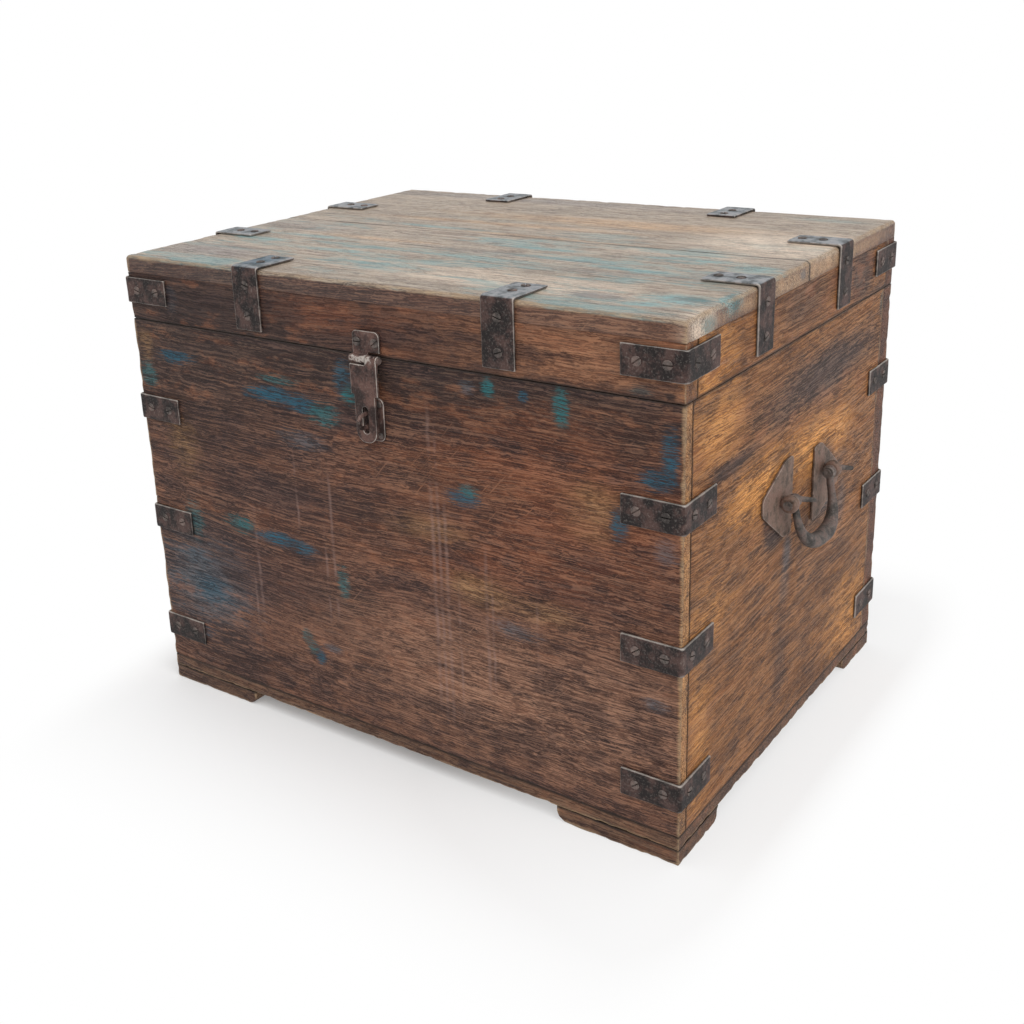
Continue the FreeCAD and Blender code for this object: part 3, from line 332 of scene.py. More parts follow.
def patch_tree():
    """A patch round a centre, whose rim is broken up by a ragged noise."""

    def fill(nodes, given):
        way = nodes.vector("DIVIDE", nodes.vector("SUBTRACT", given["Vector"], given["Centre"]), given["Reach"])
        far = nodes.vector("LENGTH", way, out=1)
        ragged = nodes.plus(far, nodes.swing(given["Noise"], given["Ragged"]))
        return {"Mask": nodes.times(given["Strength"], nodes.fit(ragged, 1.05, given["Core"]))}

    return shared_tree("patch", {"Vector": ZERO, "Centre": ZERO, "Reach": (1.0, 1.0, 1.0), "Noise": 0.5,
                                 "Ragged": 1.0, "Core": 0.6, "Strength": 1.0}, ["Mask"], fill)


def rubbed_tree():
    """How far the wood is rubbed bare at its arrises, and how dirty it is in its seams."""

    def fill(nodes, given):
        uneven = nodes.swing(given["Noise"], given["Reach"])
        bare = nodes.plus(given["Arris"], nodes.times(uneven, 3.0))
        return {"Bare": nodes.fit(bare, given["Reach"], 0.0),
                "Dirt": nodes.fit(nodes.plus(given["Seam"], uneven), 0.0026, 0.0002)}

    return shared_tree("rubbed_edges", {"Arris": 1.0, "Seam": 1.0, "Reach": 0.004, "Noise": 0.5},
                       ["Bare", "Dirt"], fill)


def line_tree():
    """A soft upright line rubbed into the wood, broken along its length."""

    def fill(nodes, given):
        off = nodes.math("SUBTRACT", given["Across"], given["At"])
        off = nodes.plus(off, nodes.swing(given["Noise"], 0.006))
        soft = nodes.fit(nodes.math("ABSOLUTE", off), nodes.times(given["Width"], 2.6), 0.0)
        lower = nodes.fit(given["Along"], given["Low"], nodes.plus(given["Low"], LINE_FADE))
        upper = nodes.fit(given["Along"], given["High"], nodes.math("SUBTRACT", given["High"], LINE_FADE))
        broken = nodes.fit(given["Noise"], 0.62, 0.40)
        return {"Mask": nodes.times(nodes.times(soft, nodes.times(lower, upper)), broken)}

    words = ("Across", "Along", "At", "Width", "Low", "High", "Noise")
    return shared_tree("rubbed_line", {word: 0.0 for word in words}, ["Mask"], fill)


def iron_tree():
    """Old wrought iron: blotches of rust, pits, and rubbed edges."""

    def fill(nodes, given):
        blotch = nodes.noise(given["Vector"], 70.0, 70.0, 5.0, 0.65)
        pits = nodes.noise(given["Vector"], 520.0, 520.0, 4.0, 0.65)
        rusty = nodes.times(nodes.fit(blotch, 0.40, 0.62), given["Rusting"])
        mixed = nodes.mix(rusty, given["Iron"], given["Rust"])
        cloudy = nodes.even(nodes.fit(blotch, 0.38, 0.62, 0.40, 1.7))
        mixed = nodes.mix(1.0, mixed, cloudy, "MULTIPLY")
        mixed = nodes.tinted(nodes.fit(pits, 0.48, 0.3, 0.0, 0.6), mixed, (0.4, 0.38, 0.38))
        mixed = nodes.mix(nodes.fit(pits, 0.50, 0.74, 0.0, 0.2), mixed, given["Worn iron"])
        rubbed = nodes.fit(nodes.plus(given["Worn"], nodes.swing(blotch, 0.8)), 0.24, 0.72)
        mixed = nodes.mix(nodes.times(rubbed, given["Rubbing"]), mixed, given["Worn iron"])
        rough = nodes.math("SUBTRACT", 0.68, nodes.times(rubbed, 0.2))
        return {"Colour": mixed, "Roughness": nodes.plus(rough, nodes.swing(pits, 0.3)), "Rubbed": rubbed,
                "Height": nodes.plus(nodes.times(pits, 0.4), blotch)}

    return shared_tree("old_iron", {
        "Vector": ZERO, "Iron": WHITE, "Rust": WHITE, "Worn iron": WHITE, "Worn": 0.0, "Rusting": 0.5,
        "Rubbing": 0.8,
    }, ["Colour", "Roughness", "Rubbed", "Height"], fill)


# Marks on the wood, in millimetres in the frame of the chest.

FRONT, RIGHT, TOP = -230, 305, 470
OUT = 12  # reach of a mark across its own face


def metres(values):
    return tuple(value / 1000 for value in values)


def on_face(across, level, usual, groups):
    """The marks of one face: colour, centre, reach, strength, core and raggedness.

    A group is a colour and its marks. A short mark leaves out the axis across its face, and it may leave out
    the usual core and raggedness.
    """
    found = []
    for name, *rows in groups:
        for row in rows:
            if not isinstance(row[0], tuple):
                centre, reach = list(row[:2]), list(row[2:4])
                centre.insert(across, level)
                reach.insert(across, OUT)
                row = (centre, reach, row[4], *(row[5:] or usual))
            found.append((name, metres(row[0]), metres(row[1]), *row[2:]))
    return tuple(found)


FRONT_TONES = on_face(1, FRONT, (0.1, 1.0), (
    ("front_dark", (-240, 380, 320, 160, 0.95, 0.1, 0.9), (40, 405, 400, 80, 0.9, 0.3, 0.9),
     (0, 404, 500, 25, 0.9, 0.3, 0.9), (-100, 250, 200, 30, 0.6), (0, 350, 120, 30, 0.5),
     (-240, 180, 160, 120, 0.6), (-60, 145, 90, 80, 0.4), (130, 365, 170, 40, 0.75, 0.2, 1.0),
     (100, 300, 120, 40, 0.4)),
    ("tan", (235, 314, 50, 20, 0.6, 0.2, 1.2), (104, 209, 36, 12, 0.65, 0.2, 1.2),
     (176, 203, 50, 18, 0.6, 0.2, 1.2)),
    ("plum", (219, 258, 34, 10, 0.6, 0.3, 1.2), (95, 230, 30, 10, 0.65, 0.3, 1.2)),
    ("front_dark", (30, 246, 26, 12, 0.6, 0.3, 1.2), (60, 245, 140, 30, 0.4), (-100, 150, 160, 30, 0.35),
     (100, 150, 80, 30, 0.4)),
    ("plum", (190, 225, 100, 22, 0.4)),
    ("front_red", (200, 315, 200, 90, 0.7, 0.1, 0.9), (120, 235, 140, 50, 0.5, 0.1, 0.9)),
    ("front_grey", (140, 110, 340, 110, 0.9, 0.2, 0.9), (270, 150, 100, 80, 0.6, 0.1, 0.9)),
    ("haze", (-240, 130, 95, 80, 0.85, 0.2, 1.4)),
    ("front_dark", (270, 375, 60, 45, 0.6, 0.1, 0.9), (-220, 50, 160, 45, 0.5, 0.1, 0.9)),
    ("lid_warm", ((RIGHT, FRONT + 6, 220), (3.5, 18, 400), 0.6, 0.2, 0.9)),
    ("ends_gold", ((RIGHT, FRONT + 6, 220), (3.5, 18, 400), 0.5, 0.2, 0.9)),
    ("lid_warm", ((-RIGHT, FRONT + 6, 220), (3.5, 18, 400), 0.5, 0.2, 0.9)),
    ("front", ((RIGHT, -FRONT, 220), (30, 30, 400), 0.4, 0.2, 0.7)),
    ("tan", (-290, 380, 14, 22, 0.6, 0.2, 1.2), (-252, 285, 30, 45, 0.6, 0.2, 1.2),
     (115, 205, 50, 22, 0.55, 0.2, 1.2), (225, 305, 35, 35, 0.5, 0.2, 1.2), (60, 255, 60, 18, 0.4, 0.2, 1.2)),
    ("plum", (-150, 155, 150, 50, 0.5), (-130, 250, 120, 30, 0.5), (-40, 345, 90, 30, 0.5),
     (40, 185, 120, 30, 0.3)),
))
FRONT_PAINT = on_face(1, FRONT, (0.5, 1.6), (
    ("blue", (-250, 373, 30, 8.5, 0.9)), ("teal", (-291, 349, 12, 17, 0.6)),
    ("blue", (-118, 352, 40, 8.5, 0.95, 0.5, 1.5), (-83, 349, 22, 10, 0.95, 0.5, 1.5)),
    ("teal", (-112, 368, 26, 5, 0.6, 0.5, 1.8), (-58, 342, 20, 13, 0.7, 0.5, 1.7)),
    ("blue", (-30, 378, 12, 20, 0.75, 0.5, 1.5)), ("teal", (-24, 365, 10, 10, 0.9, 0.5, 1.4)),
    ("haze", (-86, 312, 36, 12, 0.5, 0.4, 1.6)), ("teal", (127, 394, 8, 10, 0.95, 0.5, 1.1)),
    ("blue", (161, 392, 6, 6, 0.8, 0.5, 1.2)), ("teal", (197, 388, 9.5, 20, 0.95, 0.5, 1.1)),
    ("haze", (106, 392, 10, 8, 0.5, 0.4, 1.5)), ("blue", (98, 291, 22, 9, 0.8)),
    ("teal", (104, 298, 12, 8, 0.7)),
    ("blue", (293, 362, 9, 26, 0.85, 0.5, 1.3), (281, 341, 16, 10, 0.85, 0.5, 1.4),
     (249, 299, 9, 15, 0.85, 0.5, 1.4)),
    ("haze", (290, 284, 13, 14, 0.5, 0.4, 1.4)), ("teal", (-178, 208, 24, 11, 0.8)),
    ("blue", (-128, 203, 40, 8.5, 0.95, 0.5, 1.3), (-94, 200, 18, 8, 0.8, 0.5, 1.5)),
    ("teal", (-247, 200, 14, 24, 0.55, 0.4, 1.6)), ("haze", (-250, 157, 28, 14, 0.7, 0.4, 1.6)),
    ("blue", (-232, 122, 34, 20, 0.62, 0.3, 1.2)), ("haze", (-255, 70, 18, 9, 0.7, 0.4, 1.5)),
    ("teal", (-48, 174, 9, 20, 0.75, 0.5, 1.4)), ("haze", (147, 178, 30, 10, 0.6, 0.4, 1.6)),
    ("teal", (-102, 104, 8, 11, 0.7, 0.5, 1.3), (-94, 94, 9, 9, 0.8, 0.5, 1.2)),
    ("blue", (-85, 86, 8, 10, 0.85, 0.5, 1.2)),
    ("haze", (-70, 100, 14, 6, 0.7, 0.5, 1.4), (282, 147, 14, 8, 0.6, 0.4, 1.4)),
))
# Rubbed lines, in metres: place along the front, half width, heights of the lower and upper end.
FRONT_LINES = (
    (-0.160, 0.0012, 0.10, 0.25), (-0.168, 0.0010, 0.06, 0.17), (-0.058, 0.0011, 0.12, 0.30),
    (-0.068, 0.0010, 0.10, 0.24), (0.062, 0.0013, 0.06, 0.38), (0.069, 0.0011, 0.05, 0.36),
    (0.076, 0.0012, 0.05, 0.30), (0.088, 0.0009, 0.06, 0.22), (0.118, 0.0012, 0.09, 0.26),
    (0.124, 0.0009, 0.10, 0.24), (-0.100, 0.0009, 0.20, 0.31), (0.170, 0.0009, 0.13, 0.25),
)
END_TONES = on_face(0, RIGHT, (0.1, 0.9), (
    ("ends_gold", (-170, 375, 70, 50, 0.6)), ("ends_dark", (50, 358, 200, 34, 0.95, 0.3, 1.0)),
    ("ends_gold", (-80, 292, 100, 36, 0.9, 0.3, 1.2), (25, 294, 80, 34, 0.95, 0.3, 1.2),
     (100, 290, 50, 34, 0.7), (-185, 210, 70, 50, 0.4), (160, 85, 100, 60, 0.6), (150, 50, 80, 30, 0.8),
     (-195, 100, 30, 120, 0.5)),
    ("front_dark", (-148, 330, 52, 11, 0.9, 0.4, 0.8)),
    # The last four marks of this group are painted shadows: one under the bail, two round the handle plates and
    # one under the front plate.
    ("ends_dark", (-110, 333, 42, 11, 0.65, 0.2, 1.0), (-45, 342, 50, 20, 0.5, 0.2, 1.1),
     (60, 346, 80, 30, 0.4, 0.1, 1.1), (110, 225, 32, 45, 0.5, 0.1, 1.1), (-25, 100, 24, 60, 0.6, 0.1, 1.1),
     (100, 160, 80, 26, 0.35, 0.1, 1.1), (-180, 175, 30, 24, 0.4, 0.1, 1.1), (55, 228, 60, 40, 0.6, 0.1, 1.0),
     (-49, 256, 32, 38, 0.85, 0.7, 0.45), (64, 252, 32, 44, 0.8, 0.6, 0.45),
     (-50, 231, 42, 13, 0.7, 0.2, 0.8)),
    # The first mark of this group, under the bail, is a painted shadow.
    ("haze", (70, 235, 36, 32, 0.5, 0.1, 1.0), (-19, 205, 14, 30, 0.7, 0.2, 0.8),
     (-22, 172, 17, 26, 0.35, 0.2, 0.8), (118, 208, 16, 34, 0.35, 0.2, 0.9)),
    ("teal", (204, 392, 8, 18, 0.5, 0.3, 1.3)),
))
LID_TONES = on_face(2, TOP, (0.1, 0.9), (
    ("lid_warm", (60, 105, 300, 35, 0.8), (-50, 60, 240, 14, 0.7), (-120, -60, 120, 10, 0.6),
     (20, 10, 200, 10, 0.6)),
    ("lid_grey", (-100, 205, 360, 26, 0.7), (-240, -175, 110, 40, 0.8), (-260, -30, 120, 45, 0.4),
     (265, -85, 60, 30, 0.5)),
    # The first mark of this group, at the rear right of the lid, is a painted sheen.
    ("lid_pale", (260, 65, 120, 75, 1.0, 0.3, 0.9), (120, -175, 220, 35, 0.7), (210, -10, 120, 30, 0.5),
     (50, -150, 240, 12, 0.5)),
    ("haze", (60, -75, 170, 16, 0.3, 0.1, 1.2), (160, -110, 130, 14, 0.3, 0.1, 1.2)),
    ("lid_warm", ((RIGHT, 0, 460), (10, 260, 11), 0.75, 0.3, 0.8)),
    ("lid_pale", ((RIGHT, -205, 462), (20, 34, 18), 0.9, 0.4, 0.8)),
    ("front_dark", ((-240, FRONT, 466), (140, OUT, 10), 0.7, 0.3, 0.8)),
    ("ends_gold", ((-RIGHT, 0, 460), (10, 260, 11), 0.8, 0.3, 0.8)),
    ("rails_light", ((240, FRONT, 460), (160, OUT, 14), 0.5, 0.1, 0.8)),
    ("front_dark", ((-200, FRONT, 458), (260, OUT, 12), 0.8, 0.1, 0.8)),
))
LID_PAINT = on_face(2, TOP, (0.4, 1.6), (
    ("wash", (215, -30, 60, 11, 0.85, 0.4, 1.5), (275, -42, 28, 13, 0.9, 0.4, 1.5), (120, -72, 80, 10, 0.8),
     (185, -88, 60, 9, 0.8), (20, -100, 110, 10, 0.7), (60, -40, 60, 7, 0.7), (-120, -125, 80, 9, 0.7),
     (-190, -75, 75, 10, 0.7), (-235, -105, 50, 8, 0.6), (-100, 20, 80, 8, 0.6), (-20, -160, 60, 8, 0.6)),
    ("haze", (205, -187, 34, 13, 0.7, 0.4, 1.4)), ("wash", (270, -170, 40, 20, 0.95, 0.5, 1.4)),
    ("teal", (282, -168, 18, 11, 0.8, 0.4, 1.3)),
    ("wash", (250, -196, 24, 9, 0.8, 0.3, 1.4), ((301, -150, TOP - 4), (9, 22, 13), 0.95, 0.5, 1.2)),
    ("teal", ((301, -146, TOP - 6), (9, 10, 9), 0.8, 0.5, 1.2),
     ((RIGHT, -193, 459), (OUT, 15, 9), 0.75, 0.4, 1.2)),
    ("haze", ((RIGHT, -10, 461), (OUT, 10, 7), 0.7, 0.3, 1.2)), ("wash", (250, 200, 60, 14, 0.4, 0.2, 1.5)),
))
RAIL_TONES = on_face(1, FRONT, (0.1, 0.9), (
    ("rails_light", (240, 430, 240, 60, 0.9)), ("front_dark", (-200, 425, 300, 60, 1.0, 0.2, 0.9)),
    ("front_red", (-40, 435, 100, 20, 0.5, 0.1, 1.0)), ("front_dark", (105, 432, 50, 20, 0.4, 0.1, 1.0)),
    ("haze", (-247, 430, 12, 18, 0.4, 0.3, 1.2)), ("teal", (268, 411.5, 14, 6, 0.6, 0.4, 1.3)),
    ("varnish", (292, 411.2, 7, 4.5, 0.9, 0.4, 1.1)), ("front_dark", (-4, 449, 18, 8, 0.7, 0.4, 1.5)),
)) + on_face(0, RIGHT, (0.1, 0.9), (
    ("ends_gold", (-185, 430, 60, 50, 0.7)),
    ("ends_dark", (140, 435, 50, 40, 0.9, 0.4, 0.9), (0, 440, 70, 40, 0.6, 0.3, 0.9),
     (-80, 436, 30, 30, 0.45, 0.1, 1.1), (90, 442, 60, 14, 0.4, 0.1, 1.1)),
))


def blank(name):
    """A new material with its shader, the object's coordinates and the helper for its nodes."""
    material = bpy.data.materials.new(name)
    material.use_nodes = True
    shader = material.node_tree.nodes["Principled BSDF"]
    nodes = Nodes(material.node_tree)
    return material, shader, nodes, nodes.add("TexCoord", out=3)


def patch(nodes, place, centre, reach, rim, strength, core, ragged):
    """The mask of one patch."""
    return nodes.shared(patch_tree(), Vector=place, Centre=centre, Reach=reach, Noise=rim, Ragged=ragged,
                        Core=core, Strength=strength)["Mask"]


def marks(nodes, base, place, table, rim, wood, mottle=None):
    """Lays the marks of a table over a base colour. Paint is mottled, and its strong marks have a dark rim."""
    for name, centre, reach, strength, core, ragged in table:
        shade = getattr(wood, name)
        if mottle:
            dull, light = (tuple(part * share for part in shade) for share in (0.45, 1.25))
            shade = nodes.mix(mottle, dull, light)
            if strength >= 0.8 and name in ("blue", "teal"):
                wide = (reach[0] * 1.35, reach[1], reach[2] * 1.5)
                base = nodes.mix(patch(nodes, place, centre, wide, rim, 0.55, core, ragged), base, wood.varnish)
        base = nodes.mix(patch(nodes, place, centre, reach, rim, strength, core, ragged), base, shade)
    return base


def outer_skin(nodes, parts):
    """1 on the faces that show when the chest is shut, 0 inside it."""
    across = nodes.fit(nodes.math("ABSOLUTE", parts["X"]), HALF_LENGTH - 0.004, HALF_LENGTH - 0.002)
    deep = nodes.fit(nodes.math("ABSOLUTE", parts["Y"]), HALF_DEPTH - 0.004, HALF_DEPTH - 0.002)
    return nodes.larger(across, deep)


def split(nodes, place):
    node = nodes.tree.nodes.new("ShaderNodeSeparateXYZ")
    nodes.feed(node.inputs[0], place)
    return {output.name: output for output in node.outputs}


def attribute(nodes, name):
    return nodes.add("Attribute", out=2, attribute_name=name)


def bump(nodes, height, strength, distance):
    return nodes.add("Bump", {"Height": height, "Strength": strength, "Distance": distance})


def wood(name, along_y=False, seed=0.0, base="front", pale_share=0.5, contrast=1.0, varnish=0.7, hues=0.5,
         lift=1.5, wash=0.0, tones=(), paint=(), lines=(), bare_reach=0.004, rough=0.6, sheen=0.3, top=None,
         relief=0.9):
    """A weathered wood whose grain runs along X, or along Y for the ends."""
    sizes = bpy.context.scene.chest_wood
    material, shader, nodes, place = blank(name)
    parts = split(nodes, place)
    turned = place
    if along_y:
        turned = nodes.add("CombineXYZ", {0: parts["Y"], 1: parts["X"], 2: parts["Z"]})
    grain = nodes.shared(grain_tree(), Vector=turned, Seed=seed)
    cloud, fibres, fine = grain["Cloud"], grain["Fibres"], grain["Fine"]
    skin = outer_skin(nodes, parts)
    ground = nodes.mix(skin, sizes.inside, getattr(sizes, base))
    if top:
        upper = nodes.fit(nodes.plus(parts["Z"], nodes.swing(cloud, 0.006)), HEIGHT - 0.0042, HEIGHT - 0.0022)
        ground = nodes.mix(upper, ground, getattr(sizes, top))
    ground = marks(nodes, ground, place, tones, nodes.sum(cloud, 0.6, fibres, 0.4), sizes)
    drift = nodes.times(nodes.plus(grain["Bands"], grain["Mottle"]), 0.5)
    ground = nodes.mix(nodes.times(skin, nodes.fit(drift, 0.44, 0.18, 0.0, hues)), ground, sizes.plum)
    ground = nodes.mix(nodes.times(skin, nodes.fit(drift, 0.62, 0.88, 0.0, hues)), ground, sizes.russet)
    lifted = nodes.mix(1.0, ground, (lift, lift * 1.03, lift * 1.05), "MULTIPLY")
    toned = nodes.shared(tones_tree(), **{
        "Base": ground, "Pale share": pale_share, "Pale": nodes.mix(0.14, lifted, sizes.pale),
        "Varnish": nodes.mix(0.25, sizes.varnish, ground), "Varnish share": nodes.times(skin, varnish),
        "Contrast": contrast, **{word: grain[word] for word in GRAIN_PARTS},
    })["Colour"]
    if wash:
        film = nodes.plus(nodes.noise(turned, 7.0, 26.0, 6.0, 0.68), nodes.swing(fibres, -0.06))
        front_part = nodes.fit(nodes.plus(parts["Y"], nodes.times(cloud, 0.1)), 0.16, 0.02)
        film = nodes.times(nodes.fit(film, 0.49, 0.62, 0.0, wash), nodes.times(upper, front_part))
        toned = nodes.mix(film, toned, sizes.wash)
    mottle = nodes.fit(nodes.plus(fine, cloud), 0.5, 1.25)
    painted = marks(nodes, toned, place, paint, nodes.sum(cloud, 0.55, fibres, 0.45), sizes, mottle)
    worn_through = nodes.fit(nodes.sum(fine, 0.5, fibres, 0.5), 0.56, 0.34, 0.0, 0.85)
    pore = nodes.mix(0.25, nodes.mix(1.0, toned, (0.75, 0.7, 0.7), "MULTIPLY"), painted)
    painted = nodes.mix(worn_through, painted, pore)
    for at, width, low, high in lines:
        line = nodes.shared(line_tree(), Across=parts["X"], Along=parts["Z"], At=at, Width=width, Low=low,
                            High=high, Noise=cloud)["Mask"]
        on_front = nodes.fit(parts["Y"], 0.012 - HALF_DEPTH, 0.006 - HALF_DEPTH, 0.0, 0.42)
        painted = nodes.mix(nodes.times(line, on_front), painted, sizes.rub)
    edges = nodes.shared(rubbed_tree(), Arris=attribute(nodes, "arris"), Seam=attribute(nodes, "seam"),
                         Reach=bare_reach, Noise=cloud)
    bare = nodes.mix(nodes.fit(fine, 0.6, 0.2, 0.0, 0.6), sizes.pale, (0.16, 0.11, 0.08))
    rubbed = nodes.mix(nodes.times(edges["Bare"], 0.8), painted, bare)
    dirty = nodes.mix(nodes.times(edges["Dirt"], 0.75), rubbed, (0.018, 0.012, 0.009))
    nodes.feed(shader.inputs["Base Color"], dirty)
    nodes.feed(shader.inputs["Roughness"], nodes.plus(rough, nodes.swing(fibres, -0.22)))
    shader.inputs["Specular IOR Level"].default_value = sheen
    height = nodes.math("SUBTRACT", nodes.sum(fibres, 0.65, fine, 0.35), nodes.times(grain["Marks"], 0.3))
    nodes.feed(shader.inputs["Normal"], bump(nodes, height, relief, 0.0006))
    return material


def iron(name, shade, rusting=0.5, rubbing=0.8, metal=0.3, edged=True, top=False, bright=False, relief=0.8):
    """An old iron. Its edges are rubbed bright where the mesh says that they stick out."""
    colours = bpy.context.scene.chest_iron
    material, shader, nodes, place = blank(name)
    ground = getattr(colours, shade)
    if top:
        # The legs on top of the lid take the lighter colour: a painted sheen.
        above = nodes.fit(split(nodes, place)["Z"], HEIGHT + 0.0012, HEIGHT + 0.0022)
        ground = nodes.mix(above, ground, colours.top)
        blue = patch(nodes, place, (-0.145, -0.200, HEIGHT), (0.022, 0.034, 0.012),
                     nodes.noise(place, 90.0, 90.0), 0.7, 0.4, 1.4)
        ground = nodes.mix(blue, ground, bpy.context.scene.chest_wood.blue)
    worn = attribute(nodes, "worn") if edged else 0.0
    if bright:
        # The knuckles of the hasp are made bright: partly rubbed iron, partly a painted highlight.
        knuckle_wear_and_highlight = patch(nodes, place, (0.001, -0.2375, 0.4040), (0.018, 0.006, 0.0050),
                         nodes.noise(place, 330.0, 330.0), 0.65, 0.1, 3.4)
        worn = nodes.plus(worn, knuckle_wear_and_highlight)
    old = nodes.shared(iron_tree(), **{"Vector": place, "Iron": ground, "Rust": colours.rust,
                                       "Worn iron": colours.worn, "Worn": worn, "Rusting": rusting,
                                       "Rubbing": rubbing})
    nodes.feed(shader.inputs["Base Color"], old["Colour"])
    nodes.feed(shader.inputs["Roughness"], old["Roughness"])
    shader.inputs["Specular IOR Level"].default_value = 0.35
    nodes.feed(shader.inputs["Metallic"], nodes.fit(old["Rubbed"], 0.0, 1.0, metal * 0.5, metal * 1.6))
    nodes.feed(shader.inputs["Normal"], bump(nodes, old["Height"], relief, 0.0005))
    return material


WOODS = {
    "front_wood": {"base": "front", "tones": FRONT_TONES, "paint": FRONT_PAINT, "lines": FRONT_LINES,
                   "bare_reach": 0.0035, "varnish": 0.75, "pale_share": 0.75, "lift": 1.8, "relief": 1.2},
    "end_wood": {"along_y": True, "seed": 3.1, "base": "ends", "tones": END_TONES, "varnish": 0.35,
                 "hues": 0.3, "pale_share": 0.6, "lift": 1.7},
    "base_wood": {"seed": 5.7, "base": "base", "bare_reach": 0.003},
    "lid_wood": {"seed": 7.3, "base": "rails", "tones": LID_TONES, "paint": LID_PAINT, "contrast": 0.85,
                 "varnish": 0.36, "hues": 0.1, "lift": 1.25, "wash": 0.62, "pale_share": 0.9,
                 "bare_reach": 0.005, "rough": 0.45, "sheen": 0.45, "top": "lid", "relief": 0.7},
    "rail_wood": {"seed": 9.2, "base": "rails", "tones": RAIL_TONES, "bare_reach": 0.002, "varnish": 0.6,
                  "pale_share": 0.35},
    "rail_end_wood": {"along_y": True, "seed": 11.4, "base": "ends", "tones": RAIL_TONES, "contrast": 0.85,
                      "varnish": 0.45, "bare_reach": 0.002},
}
IRONS = {
    "strap_iron": {"shade": "strap", "rusting": 0.4, "rubbing": 0.65, "top": True},
    "hasp_iron": {"shade": "hasp", "rusting": 0.7, "bright": True},
    "handle_iron": {"shade": "handle", "metal": 0.5, "rusting": 0.7, "rubbing": 0.7, "relief": 1.2},
    "bail_iron": {"shade": "bail", "metal": 0.9, "rusting": 0.6, "rubbing": 0.7, "relief": 1.2},
    "handle_pin_iron": {"shade": "bail", "metal": 0.7, "edged": False},
    "screw_iron": {"shade": "screw", "metal": 0.7, "edged": False},
}


def finish(name):
    """The material of that name, made when it is first asked for."""
    label = "aged_" + name
    found = bpy.data.materials.get(label)
    if found is None:
        found = wood(label, **WOODS[name]) if name in WOODS else iron(label, **IRONS[name])
    return found


# Meshes.

def settle(bm, name, node, material):
    """Makes the finished piece: it sits in place, rides with its node's body and stands for that node."""
    mesh = bpy.data.meshes.new(name)
    bm.to_mesh(mesh)
    bm.free()
    mesh.materials.append(finish(material))
    piece = bpy.data.objects.new(name, mesh)
    bpy.context.scene.collection.objects.link(piece)
    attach(piece, frame["nodes"][node]["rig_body"])
    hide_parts(node)


SHARP = radians(60)  # an edge that turns by more than this has an arris
SMOOTH = radians(40)  # an edge that turns by less than this is shaded smoothly
TOUCH = 1e-5  # metres; closer than this is the same place
CHIP_REACH = 0.0035  # metres from an arris in which its chips fade out
HOLLOWS, BITES, DENTS = 14, 75, 55  # scales of the noises that shape hollows, chips and dents, per metre


def middle(edge):
    return (edge.verts[0].co + edge.verts[1].co) / 2


def wear(bm, moves, low, high):
    """Moves the points, though never out of the box of the solid, and shades the faces smoothly."""
    for vert, move in zip(bm.verts, moves):
        vert.co += move
        for axis in range(3):
            vert.co[axis] = min(max(vert.co[axis], low[axis]), high[axis])
    for face in bm.faces:
        face.smooth = True


def arris_gap(place, low, high, seams):
    """How far a point on a board is from its nearest open arris, and from its nearest seam."""
    gaps = {}
    for axis, letter in enumerate("xyz"):
        gaps[letter + "-"] = place[axis] - low[axis]
        gaps[letter + "+"] = high[axis] - place[axis]
    open_faces = [face for face in gaps if face not in seams]
    pairs = [(one, other) for one in open_faces for other in open_faces if one[0] != other[0]]
    arris = min((max(gaps[one], gaps[other]) for one, other in pairs), default=1.0)
    seam = min((gaps[face] for face in seams), default=1.0)
    return arris, seam


def weather(bm, low, high, seams, seed, chip, tight=()):
    """Marks each point's distance to the arrises and open seams, then wears the surface inwards."""
    sizes = bpy.context.scene.chest_wood
    arris_layer = bm.verts.layers.float.new("arris")
    seam_layer = bm.verts.layers.float.new("seam")
    bm.normal_update()
    shift = Vector((seed, seed * 0.7, -seed))
    moves = []
    for vert in bm.verts:
        arris, seam = arris_gap(vert.co, low, high, seams)
        if tight:
            seam = arris_gap(vert.co, low, high, [face for face in seams if face not in tight])[1]
        vert[arris_layer], vert[seam_layer] = arris, seam
        wave = 0.5 + 0.5 * noise.fractal(vert.co * HOLLOWS + shift, 0.8, 2.0, 3)
        bite = max(0.0, noise.fractal(vert.co * BITES + shift, 0.7, 2.0, 3) + 0.05)
        depth = sizes.hollow * max(0.0, wave) + chip * bite * exp(-max(arris, 0.0) / CHIP_REACH)
        moves.append(vert.normal * -min(depth, 2 * chip + sizes.hollow))
    wear(bm, moves, low, high)
    for edge in bm.edges:
        edge.smooth = edge.calc_face_angle(0.0) < SMOOTH


def open_edges(bm, face_seams, low, high, seams):
    """The sharp edges that touch no seam, or those that do."""
    return [edge for edge in bm.edges if edge.calc_face_angle(0.0) > SHARP
            and (arris_gap(middle(edge), low, high, seams)[1] < TOUCH) == face_seams]


def round_edges(bm, edges, width, segments=2):
    bmesh.ops.bevel(bm, geom=edges, offset=width, offset_type="OFFSET", affect="EDGES", segments=segments,
                    profile=0.5, material=-1, clamp_overlap=True)


